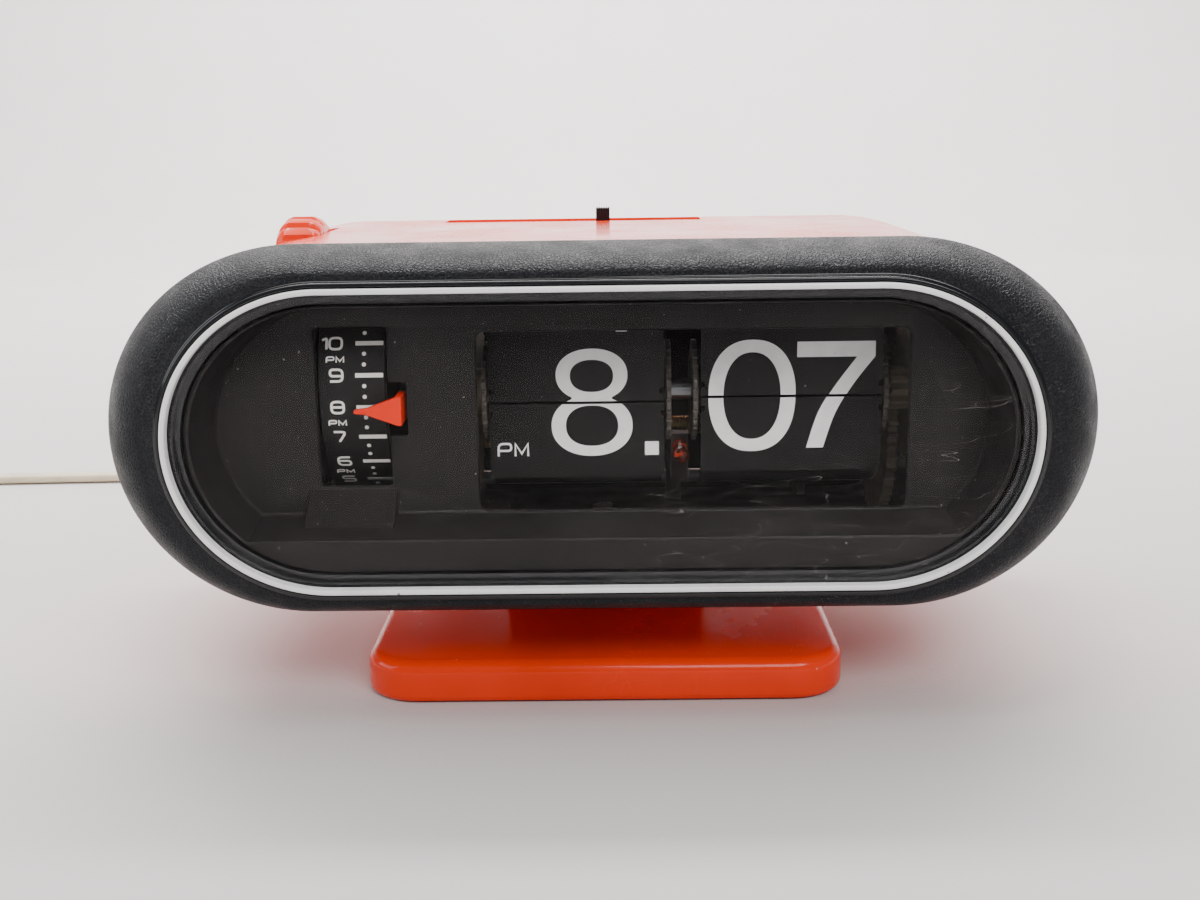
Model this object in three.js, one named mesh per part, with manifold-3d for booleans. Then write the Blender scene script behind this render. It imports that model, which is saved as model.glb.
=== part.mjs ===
// Flip number clock on a pedestal, with a 24-hour alarm drum. Millimetres, +X right, +Y back, +Z up.
// The clock is modelled with y = 0 at the bezel's rim and moved back to centre its box on the origin.
import * as THREE from 'three';
import { mergeVertices } from 'three/addons/utils/BufferGeometryUtils.js';
import Module from 'manifold-3d';

const wasm = await Module();
wasm.setup();

// ---------------------------------------------------------------- driving dimensions
const GAP = 0.3;
const RIM_Y = -39.5;                 // the rim plane's place in the finished part
const CENTRE_Z = 54.3;               // height of the case's long axis
const RIM = { w: 95, h: 35.65, e: 37.9 };   // half width, half height, length of a round end
const RING = { w: 80.9, h: 28.65, e: 30.4 };
const RING_FRONT = -14.5;
const LENS_FRONT = -13.7;
const LENS_BACK = -10.9;
const WALL = 2.2;
const CASE_FRONT = 1.7;
const CASE_BACK = 89.8;
const COVER_BACK = 88.8;
const COVER_FRONT = 86.6;
const MASK_FRONT = -10.2;
const MASK_PLANE = 3;                // the recessed plane that holds both windows
const MASK_BACK = 5;
const SHELF_Z = 36.8;

const SHAFT_R = 2;
const DISPLAY = { y: 26, z: 56.6 };  // common axis of the hour and minute drums
const ARBOR = { y: 46, z: 45 };
const ALARM = { y: 27, z: 60.1 };
const ALARM_WHEEL = { y: 49, z: 78.3, r: 14 };
const TIME_WHEEL_R = 18.85;
const DRUM_R = 10.5;
const ROLL_R = 9.1;
const ROLL_ROOT_R = 8.1;
const HUB_R = 5;
const ALARM_DRUM = { r: 23.8, wall: 1.6, left: -54.6, right: -41.6 };

const TEETH = {
  minutePinion: 10, transferWheel: 50, transferPinion: 10, hourGear: 48, camGear: 48,
  driveWheel: 48, motorPinion: 8, timePinion: 28, ringGear: 45, alarmPinion: 15,
};
const MOTOR_REACH = 18;              // from the display shaft to the motor shaft
const MOTOR_BACK = 17.45;            // how far behind the display shaft the motor shaft is
const TIME_WHEEL_Y = 74.55;

const LEAF_PLANE = 15;               // front of the two rows of leaves
const LEAF = { height: 15, thick: 0.5 };
const HOUR = { left: -22.8, right: 12.6, split: 56.2 };
const MINUTE = { left: 20, right: 56.4, split: 57.1 };
const DISC_GAP = 0.5;
const DISC_THICK = 1;

const PLATE = 1.2;
const LEFT_PLATE_X = -73.4;
const CENTRE_PLATE_X = -30.6;
const RIGHT_PLATE_X = 67;
const RODS = [
  { name: 'tie_rod_bottom', y: 64, z: 29 },
  { name: 'tie_rod_top', y: 68, z: 76 },
];

const COVER_SCREW = { x: 48, z: 29 };
const BASE = { w: 47.9, front: -5.5, back: 72, bottom: 0.4, top: 8.5, corner: 11 };
const NECK = { w: 21.75, front: 29, back: 63, corner: 6 };
const BASE_SCREWS = [{ side: 'front', y: 37 }, { side: 'rear', y: 55 }];
const PAD = { w: 42, front: 0.5, back: 66, corner: 8 };

const CORD = { width: 5.2, thick: 2.8 };
const CORD_EXIT = { x: -40, z: 38 };
const COIL = { x: -246, y: 100, inner: 22.5, turns: 6.5 };
const COIL_OUTER = COIL.inner + CORD.width * COIL.turns / 2;

// ---------------------------------------------------------------- materials
const finish = (color, roughness, metalness = 0) =>
  new THREE.MeshStandardMaterial({ color, roughness, metalness });
const ORANGE = finish(0xd93a0a, 0.2);
const LEATHERETTE = finish(0x1b1c1f, 0.6);
const WHITE = finish(0xe6e3dd, 0.35);
const CLEAR = finish(0xdfe4e6, 0.05);
const DARK = finish(0x2a2626, 0.5);
const LEAF_BLACK = finish(0x201d1d, 0.6);
const RED = finish(0xe03c1b, 0.4);
const STEEL = finish(0x9a9c9e, 0.4, 0.9);
const BRASS = finish(0xb08d4a, 0.35, 0.9);
const NYLON = finish(0xd8d3c4, 0.5);
const COPPER = finish(0x9a4f2a, 0.4, 0.7);
const IVORY = finish(0xdccfae, 0.5);
const BLACK = finish(0x121212, 0.4);
const RUBBER = finish(0x2f2c2a, 0.9);
const GLASS = finish(0xe0a080, 0.1);

// ---------------------------------------------------------------- solids
const clock = new THREE.Group();
clock.position.y = RIM_Y;
const lead = new THREE.Group();
const object = new THREE.Group();
object.add(clock, lead);

// A closed geometry as a manifold solid.
function solid(geometry) {
  const bare = geometry.clone();
  bare.deleteAttribute('normal');
  bare.deleteAttribute('uv');
  const merged = mergeVertices(bare, 1e-4);
  const mesh = new wasm.Mesh({
    numProp: 3,
    vertProperties: merged.attributes.position.array,
    triVerts: new Uint32Array(merged.index.array),
  });
  const made = new wasm.Manifold(mesh);
  if (made.volume() > 0) return made;
  const turned = mesh.triVerts.slice();
  for (let i = 0; i < turned.length; i += 3) {
    [turned[i], turned[i + 1]] = [turned[i + 1], turned[i]];
  }
  const outward = new wasm.Mesh({ numProp: 3, vertProperties: mesh.vertProperties, triVerts: turned });
  return new wasm.Manifold(outward);
}

// A body: the sum of some geometries, less some others, as one geometry.
function body(added, removed = []) {
  let result = solid(added[0]);
  for (const more of added.slice(1)) result = result.add(solid(more));
  for (const hole of removed) result = result.subtract(solid(hole));
  const mesh = result.getMesh();
  const geometry = new THREE.BufferGeometry();
  geometry.setAttribute('position', new THREE.BufferAttribute(new Float32Array(mesh.vertProperties), 3));
  geometry.setIndex(new THREE.BufferAttribute(new Uint32Array(mesh.triVerts), 1));
  return geometry;
}

function piece(name, material, added, removed = [], group = clock) {
  const mesh = new THREE.Mesh(body(added, removed), material);
  mesh.name = name;
  group.add(mesh);
  return mesh;
}

// ---------------------------------------------------------------- outlines and sweeps
const grow = (o, d) => ({ w: o.w + d, h: o.h + d, e: o.e + d });
const mix = (a, b, t) => ({
  w: a.w + (b.w - a.w) * t, h: a.h + (b.h - a.h) * t, e: a.e + (b.e - a.e) * t,
});

// The pill outline in X and Z: straight top and bottom, half-ellipse ends, cut off below floorZ.
function pill(o, steps = 20, floorZ = -Infinity) {
  const low = Math.max(-1, (floorZ - CENTRE_Z) / o.h);
  const start = Math.asin(low);
  const right = [];
  for (let i = 0; i <= steps; i++) {
    const angle = start + (Math.PI / 2 - start) * i / steps;
    right.push([o.w - o.e + o.e * Math.cos(angle), CENTRE_Z + o.h * Math.sin(angle)]);
  }
  return right.concat(right.map(([x, z]) => [-x, z]).reverse());
}

const shapeOf = (points) => new THREE.Shape(points.map(([u, v]) => new THREE.Vector2(u, v)));

// Skins rings of equal point counts. A closed loop of rings makes a tube, an open one gets flat ends.
function loft(rings, closed) {
  const count = rings[0].length;
  const points = rings.flat();
  const faces = [];
  const spans = closed ? rings.length : rings.length - 1;
  for (let r = 0; r < spans; r++) {
    const here = r * count;
    const next = ((r + 1) % rings.length) * count;
    for (let i = 0; i < count; i++) {
      const j = (i + 1) % count;
      faces.push(here + i, here + j, next + j, here + i, next + j, next + i);
    }
  }
  if (!closed) {
    const middle = (ring) => [0, 1, 2].map((axis) => ring.reduce((sum, p) => sum + p[axis], 0) / count);
    const last = (rings.length - 1) * count;
    points.push(middle(rings[0]), middle(rings.at(-1)));
    for (let i = 0; i < count; i++) {
      const j = (i + 1) % count;
      faces.push(j, i, points.length - 2, last + i, last + j, points.length - 1);
    }
  }
  const geometry = new THREE.BufferGeometry();
  geometry.setFromPoints(points.map(([x, y, z]) => new THREE.Vector3(x, y, z)));
  geometry.setIndex(faces);
  return geometry;
}

const pillRing = (o, y, steps = 16) => pill(o, steps).map(([x, z]) => [x, y, z]);

// Flat shapes made thick along one axis. alongX takes points as (y, z), alongY as (x, z), alongZ as (x, y).
const AXES_X = new THREE.Matrix4().makeBasis(
  new THREE.Vector3(0, 1, 0), new THREE.Vector3(0, 0, 1), new THREE.Vector3(1, 0, 0));
function slab(shape, depth) {
  return new THREE.ExtrudeGeometry(shape, { depth, bevelEnabled: false, curveSegments: 8 });
}
const alongX = (shape, x0, x1) => slab(shape, x1 - x0).applyMatrix4(AXES_X).translate(x0, 0, 0);
const alongY = (shape, y0, y1) => slab(shape, y1 - y0).rotateX(Math.PI / 2).translate(0, y1, 0);
const alongZ = (shape, z0, z1) => slab(shape, z1 - z0).translate(0, 0, z0);

function box(x0, x1, y0, y1, z0, z1) {
  return new THREE.BoxGeometry(x1 - x0, y1 - y0, z1 - z0)
    .translate((x0 + x1) / 2, (y0 + y1) / 2, (z0 + z1) / 2);
}

function circle(u, v, r, steps = 20) {
  const points = [];
  for (let i = 0; i < steps; i++) {
    const angle = 2 * Math.PI * i / steps;
    points.push([u + r * Math.cos(angle), v + r * Math.sin(angle)]);
  }
  return points;
}
const discX = (at, r, x0, x1, steps = 14) => alongX(shapeOf(circle(at.y, at.z, r, steps)), x0, x1);
const discY = (x, z, r, y0, y1, steps = 16) => alongY(shapeOf(circle(x, z, r, steps)), y0, y1);
const discZ = (x, y, r, z0, z1, steps = 16) => alongZ(shapeOf(circle(x, y, r, steps)), z0, z1);

// A turned body about an axis along X: profile points are [radius, x].
function turnedX(profile, at, steps = 32) {
  const points = profile.map(([r, x]) => new THREE.Vector2(r, x));
  return new THREE.LatheGeometry(points, steps).rotateZ(-Math.PI / 2).translate(0, at.y, at.z);
}

// A rectangle with round corners, centred on x = 0, as (x, y) points.
function roundedBox(halfWidth, front, back, corner, steps = 6) {
  const points = [];
  const corners = [
    [halfWidth - corner, back - corner, 0], [corner - halfWidth, back - corner, 1],
    [corner - halfWidth, front + corner, 2], [halfWidth - corner, front + corner, 3],
  ];
  for (const [x, y, quarter] of corners) {
    for (let i = 0; i <= steps; i++) {
      const angle = Math.PI / 2 * (quarter + i / steps);
      points.push([x + corner * Math.cos(angle), y + corner * Math.sin(angle)]);
    }
  }
  return points;
}

// ---------------------------------------------------------------- gears
const distance = (a, b) => Math.hypot(a.y - b.y, a.z - b.z);
const bearing = (a, b) => Math.atan2(b.z - a.z, b.y - a.y);

// A spur gear's outline round a point, with a tooth centred on the angle phase.
function gearPoints(at, teeth, size, phase) {
  const pitch = 2 * Math.PI / teeth;
  const root = size * (teeth / 2 - 1.15);
  const tip = size * (teeth / 2 + 0.8);
  const points = [];
  for (let i = 0; i < teeth; i++) {
    const middle = phase + i * pitch;
    for (const [r, share] of [[root, -0.29], [tip, -0.12], [tip, 0.12], [root, 0.29]]) {
      const angle = middle + share * pitch;
      points.push([at.y + r * Math.cos(angle), at.z + r * Math.sin(angle)]);
    }
  }
  return points;
}
const gear = (at, teeth, size, phase, x0, x1) =>
  alongX(shapeOf(gearPoints(at, teeth, size, phase)), x0, x1);

const sizeFor = (a, b, teethA, teethB) => 2 * distance(a, b) / (teethA + teethB);

// The phase that puts a gap of the driven gear on the driver's tooth.
function meshPhase(a, b, teethA, teethB, phaseA) {
  const pitchA = 2 * Math.PI / teethA;
  const offset = ((phaseA - bearing(a, b)) % pitchA) * teethA / teethB;
  return bearing(b, a) - offset + Math.PI / teethB;
}

const MOTOR = {
  y: DISPLAY.y + MOTOR_BACK,
  z: DISPLAY.z - Math.sqrt(MOTOR_REACH ** 2 - MOTOR_BACK ** 2),
};
const motorSize = sizeFor(DISPLAY, MOTOR, TEETH.driveWheel, TEETH.motorPinion);
const trainSize = sizeFor(DISPLAY, ARBOR, TEETH.minutePinion, TEETH.transferWheel);
const hourSize = sizeFor(ARBOR, DISPLAY, TEETH.transferPinion, TEETH.hourGear);
const camSize = sizeFor(ARBOR, ALARM, TEETH.transferPinion, TEETH.camGear);
const setSize = sizeFor(ALARM, ALARM_WHEEL, TEETH.ringGear, TEETH.alarmPinion);
const timeReach = trainSize * (TEETH.transferWheel + TEETH.timePinion) / 2;
const TIME_WHEEL = {
  y: TIME_WHEEL_Y,
  z: ARBOR.z + Math.sqrt(timeReach ** 2 - (TIME_WHEEL_Y - ARBOR.y) ** 2),
};

// ---------------------------------------------------------------- case, bezel and front
function addBezel() {
  const rings = [
    pillRing(grow(RING, GAP), -13.9),
    pillRing(grow(RING, 1.5), -13.9),
    pillRing(grow(RING, 1.9), -12.9),
  ];
  for (let i = 0; i <= 6; i++) {
    const angle = Math.PI / 2 * i / 6;
    const out = 0.3 + 0.7 * Math.sin(angle);
    rings.push(pillRing(mix(RING, RIM, out), -12.7 * Math.cos(angle) ** 1.8));
  }
  rings.push(
    pillRing(RIM, 1.4),
    pillRing(grow(RIM, -2.4), 1.4),
    pillRing(grow(RIM, -2.4), -3),
    pillRing(grow(RING, -0.6), -7.6),
    pillRing(grow(RING, -3), -7.8),
    pillRing(grow(RING, -3), LENS_BACK + GAP),
    pillRing(grow(RING, -1.3), LENS_BACK + GAP),
    pillRing(grow(RING, -1.3), -12.2),
    pillRing(grow(RING, GAP), -12.2),
  );
  piece('bezel', LEATHERETTE, [loft(rings, true)]);
}

function addFront() {
  piece('trim_ring', WHITE, [loft([
    pillRing(RING, -14.1), pillRing(grow(RING, -0.3), RING_FRONT), pillRing(grow(RING, -1), RING_FRONT),
    pillRing(grow(RING, -1.3), -14.1), pillRing(grow(RING, -1.3), -12.5), pillRing(RING, -12.5),
  ], true)]);
  piece('lens', CLEAR, [loft([
    pillRing(grow(RING, -2.4), LENS_FRONT), pillRing(grow(RING, -1.6), LENS_FRONT + 0.8),
    pillRing(grow(RING, -1.6), LENS_BACK),
  ], false)]);
}

function addMask() {
  const front = grow(RING, -3.4);
  const pocketFront = { w: 76.4, h: 24.8, e: 26.4 };
  const pocketBack = { w: 75, h: 24.2, e: 25.6 };
  const pocket = loft([
    pill(pocketFront, 14, SHELF_Z - 1.5).map(([x, z]) => [x, MASK_FRONT - 1, z]),
    pill(pocketBack, 14, SHELF_Z).map(([x, z]) => [x, MASK_PLANE, z]),
  ], false);
  const hollow = alongY(shapeOf(pill({ w: 74, h: 23.4, e: 24.6 }, 10)), MASK_PLANE + 1.4, MASK_BACK + 1);
  const underShelf = box(-50, 50, MASK_FRONT + 1.8, MASK_BACK + 1, 29.5, 34);
  const ramp = alongX(shapeOf([[-4.5, 36.1], [MASK_PLANE + 1, 36.1], [MASK_PLANE + 1, 42]]), -59, -39.2);
  const digitWindow = box(-24, 59.4, MASK_PLANE - 3, MASK_BACK + 1, 37.2, 72.4);
  const alarmWindow = box(-55, -41.1, MASK_PLANE - 4, MASK_BACK + 1, 42.4, 73.7);
  const notch = box(-43, -37.5, MASK_PLANE - 3, MASK_BACK + 1, 52.4, 63);
  piece('dial_mask', DARK, [
    body([alongY(shapeOf(pill(front, 18)), MASK_FRONT, MASK_BACK)], [pocket, hollow, underShelf]), ramp,
  ], [digitWindow, alarmWindow, notch]);
  piece('alarm_pointer', RED, [
    alongY(shapeOf([[-47.5, 57.5], [-45.1, 57.2], [-39.1, 55], [-38.3, 55], [-38.3, 60.6],
      [-39.1, 60.6], [-45.1, 58.4], [-47.5, 58.1]]), 0.1, 1.6),
    box(-39.7, -38.3, 0.8, MASK_BACK + 3, 55.1, 60.5),
  ]);
}

function addCase() {
  const outer = grow(RIM, -1);
  const skin = [
    [0, CASE_FRONT], [0, 85.6], [-0.6, 87.6], [-1.8, 89.1], [-3.6, CASE_BACK], [-5.2, CASE_BACK],
    [-5.2, 84.4], [-WALL, 81], [-WALL, CASE_FRONT],
  ];
  const shell = loft(skin.map(([d, y]) => pillRing(grow(outer, d), y, 18)), true);
  const sides = [-COVER_SCREW.x, COVER_SCREW.x];
  const posts = sides.flatMap((x) => [
    discY(x, COVER_SCREW.z, 3.5, 70, COVER_FRONT - GAP, 12), box(x - 1.2, x + 1.2, 70, 80, 21, 27),
  ]);
  const postHoles = sides.map((x) => discY(x, COVER_SCREW.z, 1.6, 74, COVER_FRONT, 10));
  const top = CENTRE_Z + outer.h;
  const wheelSlot = box(-70.8, -60.3, ALARM_WHEEL.y - 15, ALARM_WHEEL.y + 15, ALARM_WHEEL.z, top + 1);
  const switchRecess = box(-37.5, 23.6, 74, 84.5, top - 0.9, top + 1);
  const switchSlot = box(-10.5, 3.4, 77.6, 80.4, top - 4, top);
  const neckHoles = BASE_SCREWS.map(({ y }) => discZ(0, y, 1.6, 16, 24, 10));
  const openings = [...postHoles, wheelSlot, switchRecess, switchSlot, ...neckHoles];
  piece('case_shell', ORANGE, [shell, ...posts], openings);

  const cover = grow(outer, -5.2 - GAP);
  const vents = [];
  for (const z of [62, 66, 70, 74]) {
    for (const x of [-30, 6]) vents.push(box(x, x + 24, COVER_FRONT - 1, COVER_BACK + 1, z - 0.9, z + 0.9));
  }
  const timeSlot = box(50.2, 57.8, COVER_FRONT - 1, COVER_BACK + 1, TIME_WHEEL.z - 14.5, TIME_WHEEL.z + 14.5);
  const screwHoles = sides.map((x) => discY(x, COVER_SCREW.z, 1.6, COVER_FRONT - 1, COVER_BACK + 1, 10));
  const cordHole = discY(CORD_EXIT.x, CORD_EXIT.z, 3.4, COVER_FRONT - 1, COVER_BACK + 1, 12);
  piece('rear_cover', ORANGE, [alongY(shapeOf(pill(cover, 18)), COVER_FRONT, COVER_BACK)],
    [...vents, timeSlot, ...screwHoles, cordHole]);
  for (const [side, x] of [['left', sides[0]], ['right', sides[1]]]) {
    const z = COVER_SCREW.z;
    piece(`rear_cover_screw_${side}`, STEEL,
      [discY(x, z, 2.9, COVER_BACK + GAP, COVER_BACK + 1.7, 14), discY(x, z, 1.25, 76, COVER_BACK + 0.6, 8)],
      [box(x - 2.2, x + 2.2, COVER_BACK + 1, COVER_BACK + 2, z - 0.4, z + 0.4),
        box(x - 0.4, x + 0.4, COVER_BACK + 1, COVER_BACK + 2, z - 2.2, z + 2.2)]);
  }
}

function addSwitch() {
  const top = CENTRE_Z + RIM.h - 1;
  piece('alarm_switch_plate', STEEL, [box(-16, 9, 75, 81.2, top - 4.4, top - 3.4)],
    [box(-10.5, 3.4, 78, 80, top - 6, top)]);
  piece('alarm_switch_knob', BLACK, [
    box(-1.5, 1.9, 77.9, 80.1, top - 2.8, top + 3), box(-3.2, 3, 76.6, 81, top - 3.1, top - 2.5),
    box(-1, 1.4, 78.3, 79.7, top - 6, top - 3),
  ]);
}

function addPedestal() {
  const layer = (inset, z) => roundedBox(BASE.w - inset, BASE.front + inset, BASE.back - inset,
    BASE.corner - inset).map(([x, y]) => [x, y, z]);
  const rings = [layer(0.9, BASE.bottom), layer(0.2, BASE.bottom + 0.5), layer(0, BASE.bottom + 1.3)];
  for (let i = 0; i <= 5; i++) {
    const angle = Math.PI / 2 * i / 5;
    rings.push(layer(2.5 * (1 - Math.cos(angle)), BASE.top - 2.5 + 2.5 * Math.sin(angle)));
  }
  const padPocket = alongZ(shapeOf(roundedBox(PAD.w, PAD.front, PAD.back, PAD.corner)), -1, 1.3);
  const shanks = BASE_SCREWS.map(({ y }) => discZ(0, y, 1.6, 0, 10, 10));
  const heads = BASE_SCREWS.map(({ y }) => discZ(0, y, 3.4, 0, 4.4, 16));
  piece('pedestal_base', ORANGE, [loft(rings, false)], [padPocket, ...shanks, ...heads]);
  const pad = roundedBox(PAD.w - GAP, PAD.front + GAP, PAD.back - GAP, PAD.corner - GAP);
  piece('base_pad', RUBBER, [alongZ(shapeOf(pad), 0, 1)]);

  const neckRing = (spread, z) => roundedBox(NECK.w + spread, NECK.front - spread, NECK.back + spread,
    NECK.corner + spread).map(([x, y]) => [x, y, z]);
  const caseBottom = CENTRE_Z - RIM.h + 1;
  piece('pedestal_neck', ORANGE, [loft([
    neckRing(1.6, BASE.top + GAP), neckRing(0.4, BASE.top + 1.2), neckRing(0, BASE.top + 3),
    neckRing(0, caseBottom - GAP),
  ], false)], BASE_SCREWS.map(({ y }) => discZ(0, y, 1.6, 8, 21, 10)));
  for (const { side, y } of BASE_SCREWS) {
    piece(`base_screw_${side}`, STEEL, [
      discZ(0, y, 3, 1.6, 4.1, 16), discZ(0, y, 1.25, 3.8, 24.5, 10), discZ(0, y, 2.6, 22.3, 24.5, 6),
    ], [box(-2.2, 2.2, y - 0.4, y + 0.4, 1, 2.6)]);
  }
}

// ---------------------------------------------------------------- flip display
function addLeaves(name, side) {
  const { left, right, split } = side;
  const front = LEAF_PLANE;
  const leaf = (y, bottom) => box(left, right, y, y + LEAF.thick, bottom, bottom + LEAF.height);
  piece(`${name}_leaf_upper`, LEAF_BLACK, [leaf(front, split + GAP)]);
  piece(`${name}_leaf_next`, LEAF_BLACK, [leaf(front + LEAF.thick + 0.4, split + GAP)]);
  piece(`${name}_leaf_lower`, LEAF_BLACK, [leaf(front + GAP, split - GAP - LEAF.height)]);
  piece(`${name}_leaf_stack`, LEAF_BLACK, [alongX(shapeOf([
    [front + 1.4, split - 2.4], [front + 1.4, 40.6], [front + 2.6, 39.4], [front + 9, 37.6],
    [front + 9, split - 10.4], [front + 2.6, split - 9.6], [front + 2, split - 5],
  ]), left, right)]);

  // The trailing leaves wound round the drum, as a ribbed roll between its end discs.
  const ribs = 24;
  const outline = [];
  for (let i = 0; i < ribs; i++) {
    const angle = 2 * Math.PI * i / ribs;
    outline.push([DISPLAY.y + ROLL_R * Math.cos(angle), DISPLAY.z + ROLL_R * Math.sin(angle)]);
    const inner = angle + 0.8 * 2 * Math.PI / ribs;
    outline.push([DISPLAY.y + ROLL_ROOT_R * Math.cos(inner), DISPLAY.z + ROLL_ROOT_R * Math.sin(inner)]);
  }
  piece(`${name}_leaf_roll`, LEAF_BLACK, [alongX(shapeOf(outline), left + GAP, right - GAP)],
    [discX(DISPLAY, HUB_R + GAP, left - 1, right + 1)]);
  const discs = [
    discX(DISPLAY, DRUM_R, left - DISC_GAP - DISC_THICK, left - DISC_GAP, 28),
    discX(DISPLAY, DRUM_R, right + DISC_GAP, right + DISC_GAP + DISC_THICK, 28),
  ];
  const hub = discX(DISPLAY, HUB_R, left - DISC_GAP - 0.5, right + DISC_GAP + 0.5);
  piece(`${name}_drum`, NYLON, [hub, ...discs],
    [discX(DISPLAY, SHAFT_R + GAP, left - 5, right + 5)]);
}

function addDisplayTrain() {
  const shaftEnd = RIGHT_PLATE_X + PLATE - GAP;
  piece('display_shaft', STEEL, [discX(DISPLAY, SHAFT_R, CENTRE_PLATE_X - GAP, shaftEnd, 16)]);
  const hourPhase = meshPhase(ARBOR, DISPLAY, TEETH.transferPinion, TEETH.hourGear, 0);
  piece('hour_gear', NYLON, [
    gear(DISPLAY, TEETH.hourGear, hourSize, hourPhase, -28.2, -26), discX(DISPLAY, HUB_R, -28.4, -24.6 - GAP),
  ], [discX(DISPLAY, SHAFT_R + GAP, -30, -20)]);
  piece('minute_wheel', NYLON, [
    gear(DISPLAY, TEETH.minutePinion, trainSize, 0, 59.6, 63.6),
    gear(DISPLAY, TEETH.driveWheel, motorSize, 0, 63.4, 65.2),
  ], [discX(DISPLAY, SHAFT_R + GAP, 58, 67)]);

  const wheelPhase = meshPhase(DISPLAY, ARBOR, TEETH.minutePinion, TEETH.transferWheel, 0);
  piece('transfer_wheel', NYLON, [
    gear(ARBOR, TEETH.transferWheel, trainSize, wheelPhase, 60.2, 62.2), discX(ARBOR, 4, 59, 63),
  ], [discX(ARBOR, SHAFT_R + GAP, 58, 64)]);
  piece('transfer_arbor', BRASS, [
    discX(ARBOR, SHAFT_R, -35.2, shaftEnd, 16),
    gear(ARBOR, TEETH.transferPinion, hourSize, 0, -29, -25.4),
    gear(ARBOR, TEETH.transferPinion, camSize, 0, -34.6, -31.2),
  ]);
  const motorPhase = meshPhase(DISPLAY, MOTOR, TEETH.driveWheel, TEETH.motorPinion, 0);
  piece('motor_pinion', BRASS, [
    gear(MOTOR, TEETH.motorPinion, motorSize, motorPhase, 63.2, 66.6), discX(MOTOR, 0.9, 63, 72, 12),
  ]);
  piece('motor_body', STEEL, [
    discX(MOTOR, 17, RIGHT_PLATE_X + PLATE + GAP, 80, 28), discX(MOTOR, 14, 79, 84, 24),
    box(69, 77, MOTOR.y - 4, MOTOR.y + 4, MOTOR.z - 17.6, MOTOR.z - 15),
  ], [discX(MOTOR, 1.3, 60, 74, 12)]);

  const timePhase = meshPhase(ARBOR, TIME_WHEEL, TEETH.transferWheel, TEETH.timePinion, wheelPhase);
  piece('time_set_wheel', ORANGE, [
    knurledWheel(TIME_WHEEL, TIME_WHEEL_R, 51, 57, 24),
    gear(TIME_WHEEL, TEETH.timePinion, trainSize, timePhase, 59.8, 62.6), discX(TIME_WHEEL, 6, 56, 60),
  ], [discX(TIME_WHEEL, 1.8, 50, 64, 14)]);
  piece('time_set_axle', STEEL, [
    discX(TIME_WHEEL, 1.5, 49.4, shaftEnd, 14), discX(TIME_WHEEL, 3, 49.4, 50.6, 14),
  ]);
}

// A thumbwheel with a crowned, grooved rim.
function knurledWheel(at, r, x0, x1, grooves) {
  const ring = (radius, depth, x) => {
    const points = [];
    for (let i = 0; i < grooves; i++) {
      for (const [share, low] of [[-0.2, 0], [0.2, 0], [0.5, depth]]) {
        const angle = 2 * Math.PI * (i + share) / grooves;
        points.push([x, at.y + (radius - low) * Math.cos(angle), at.z + (radius - low) * Math.sin(angle)]);
      }
    }
    return points;
  };
  const crown = 0.22 * (x1 - x0);
  return loft([ring(r - 1.8, 0.3, x0), ring(r, 0.8, x0 + crown), ring(r, 0.8, x1 - crown),
    ring(r - 1.8, 0.3, x1)], false);
}

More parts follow.
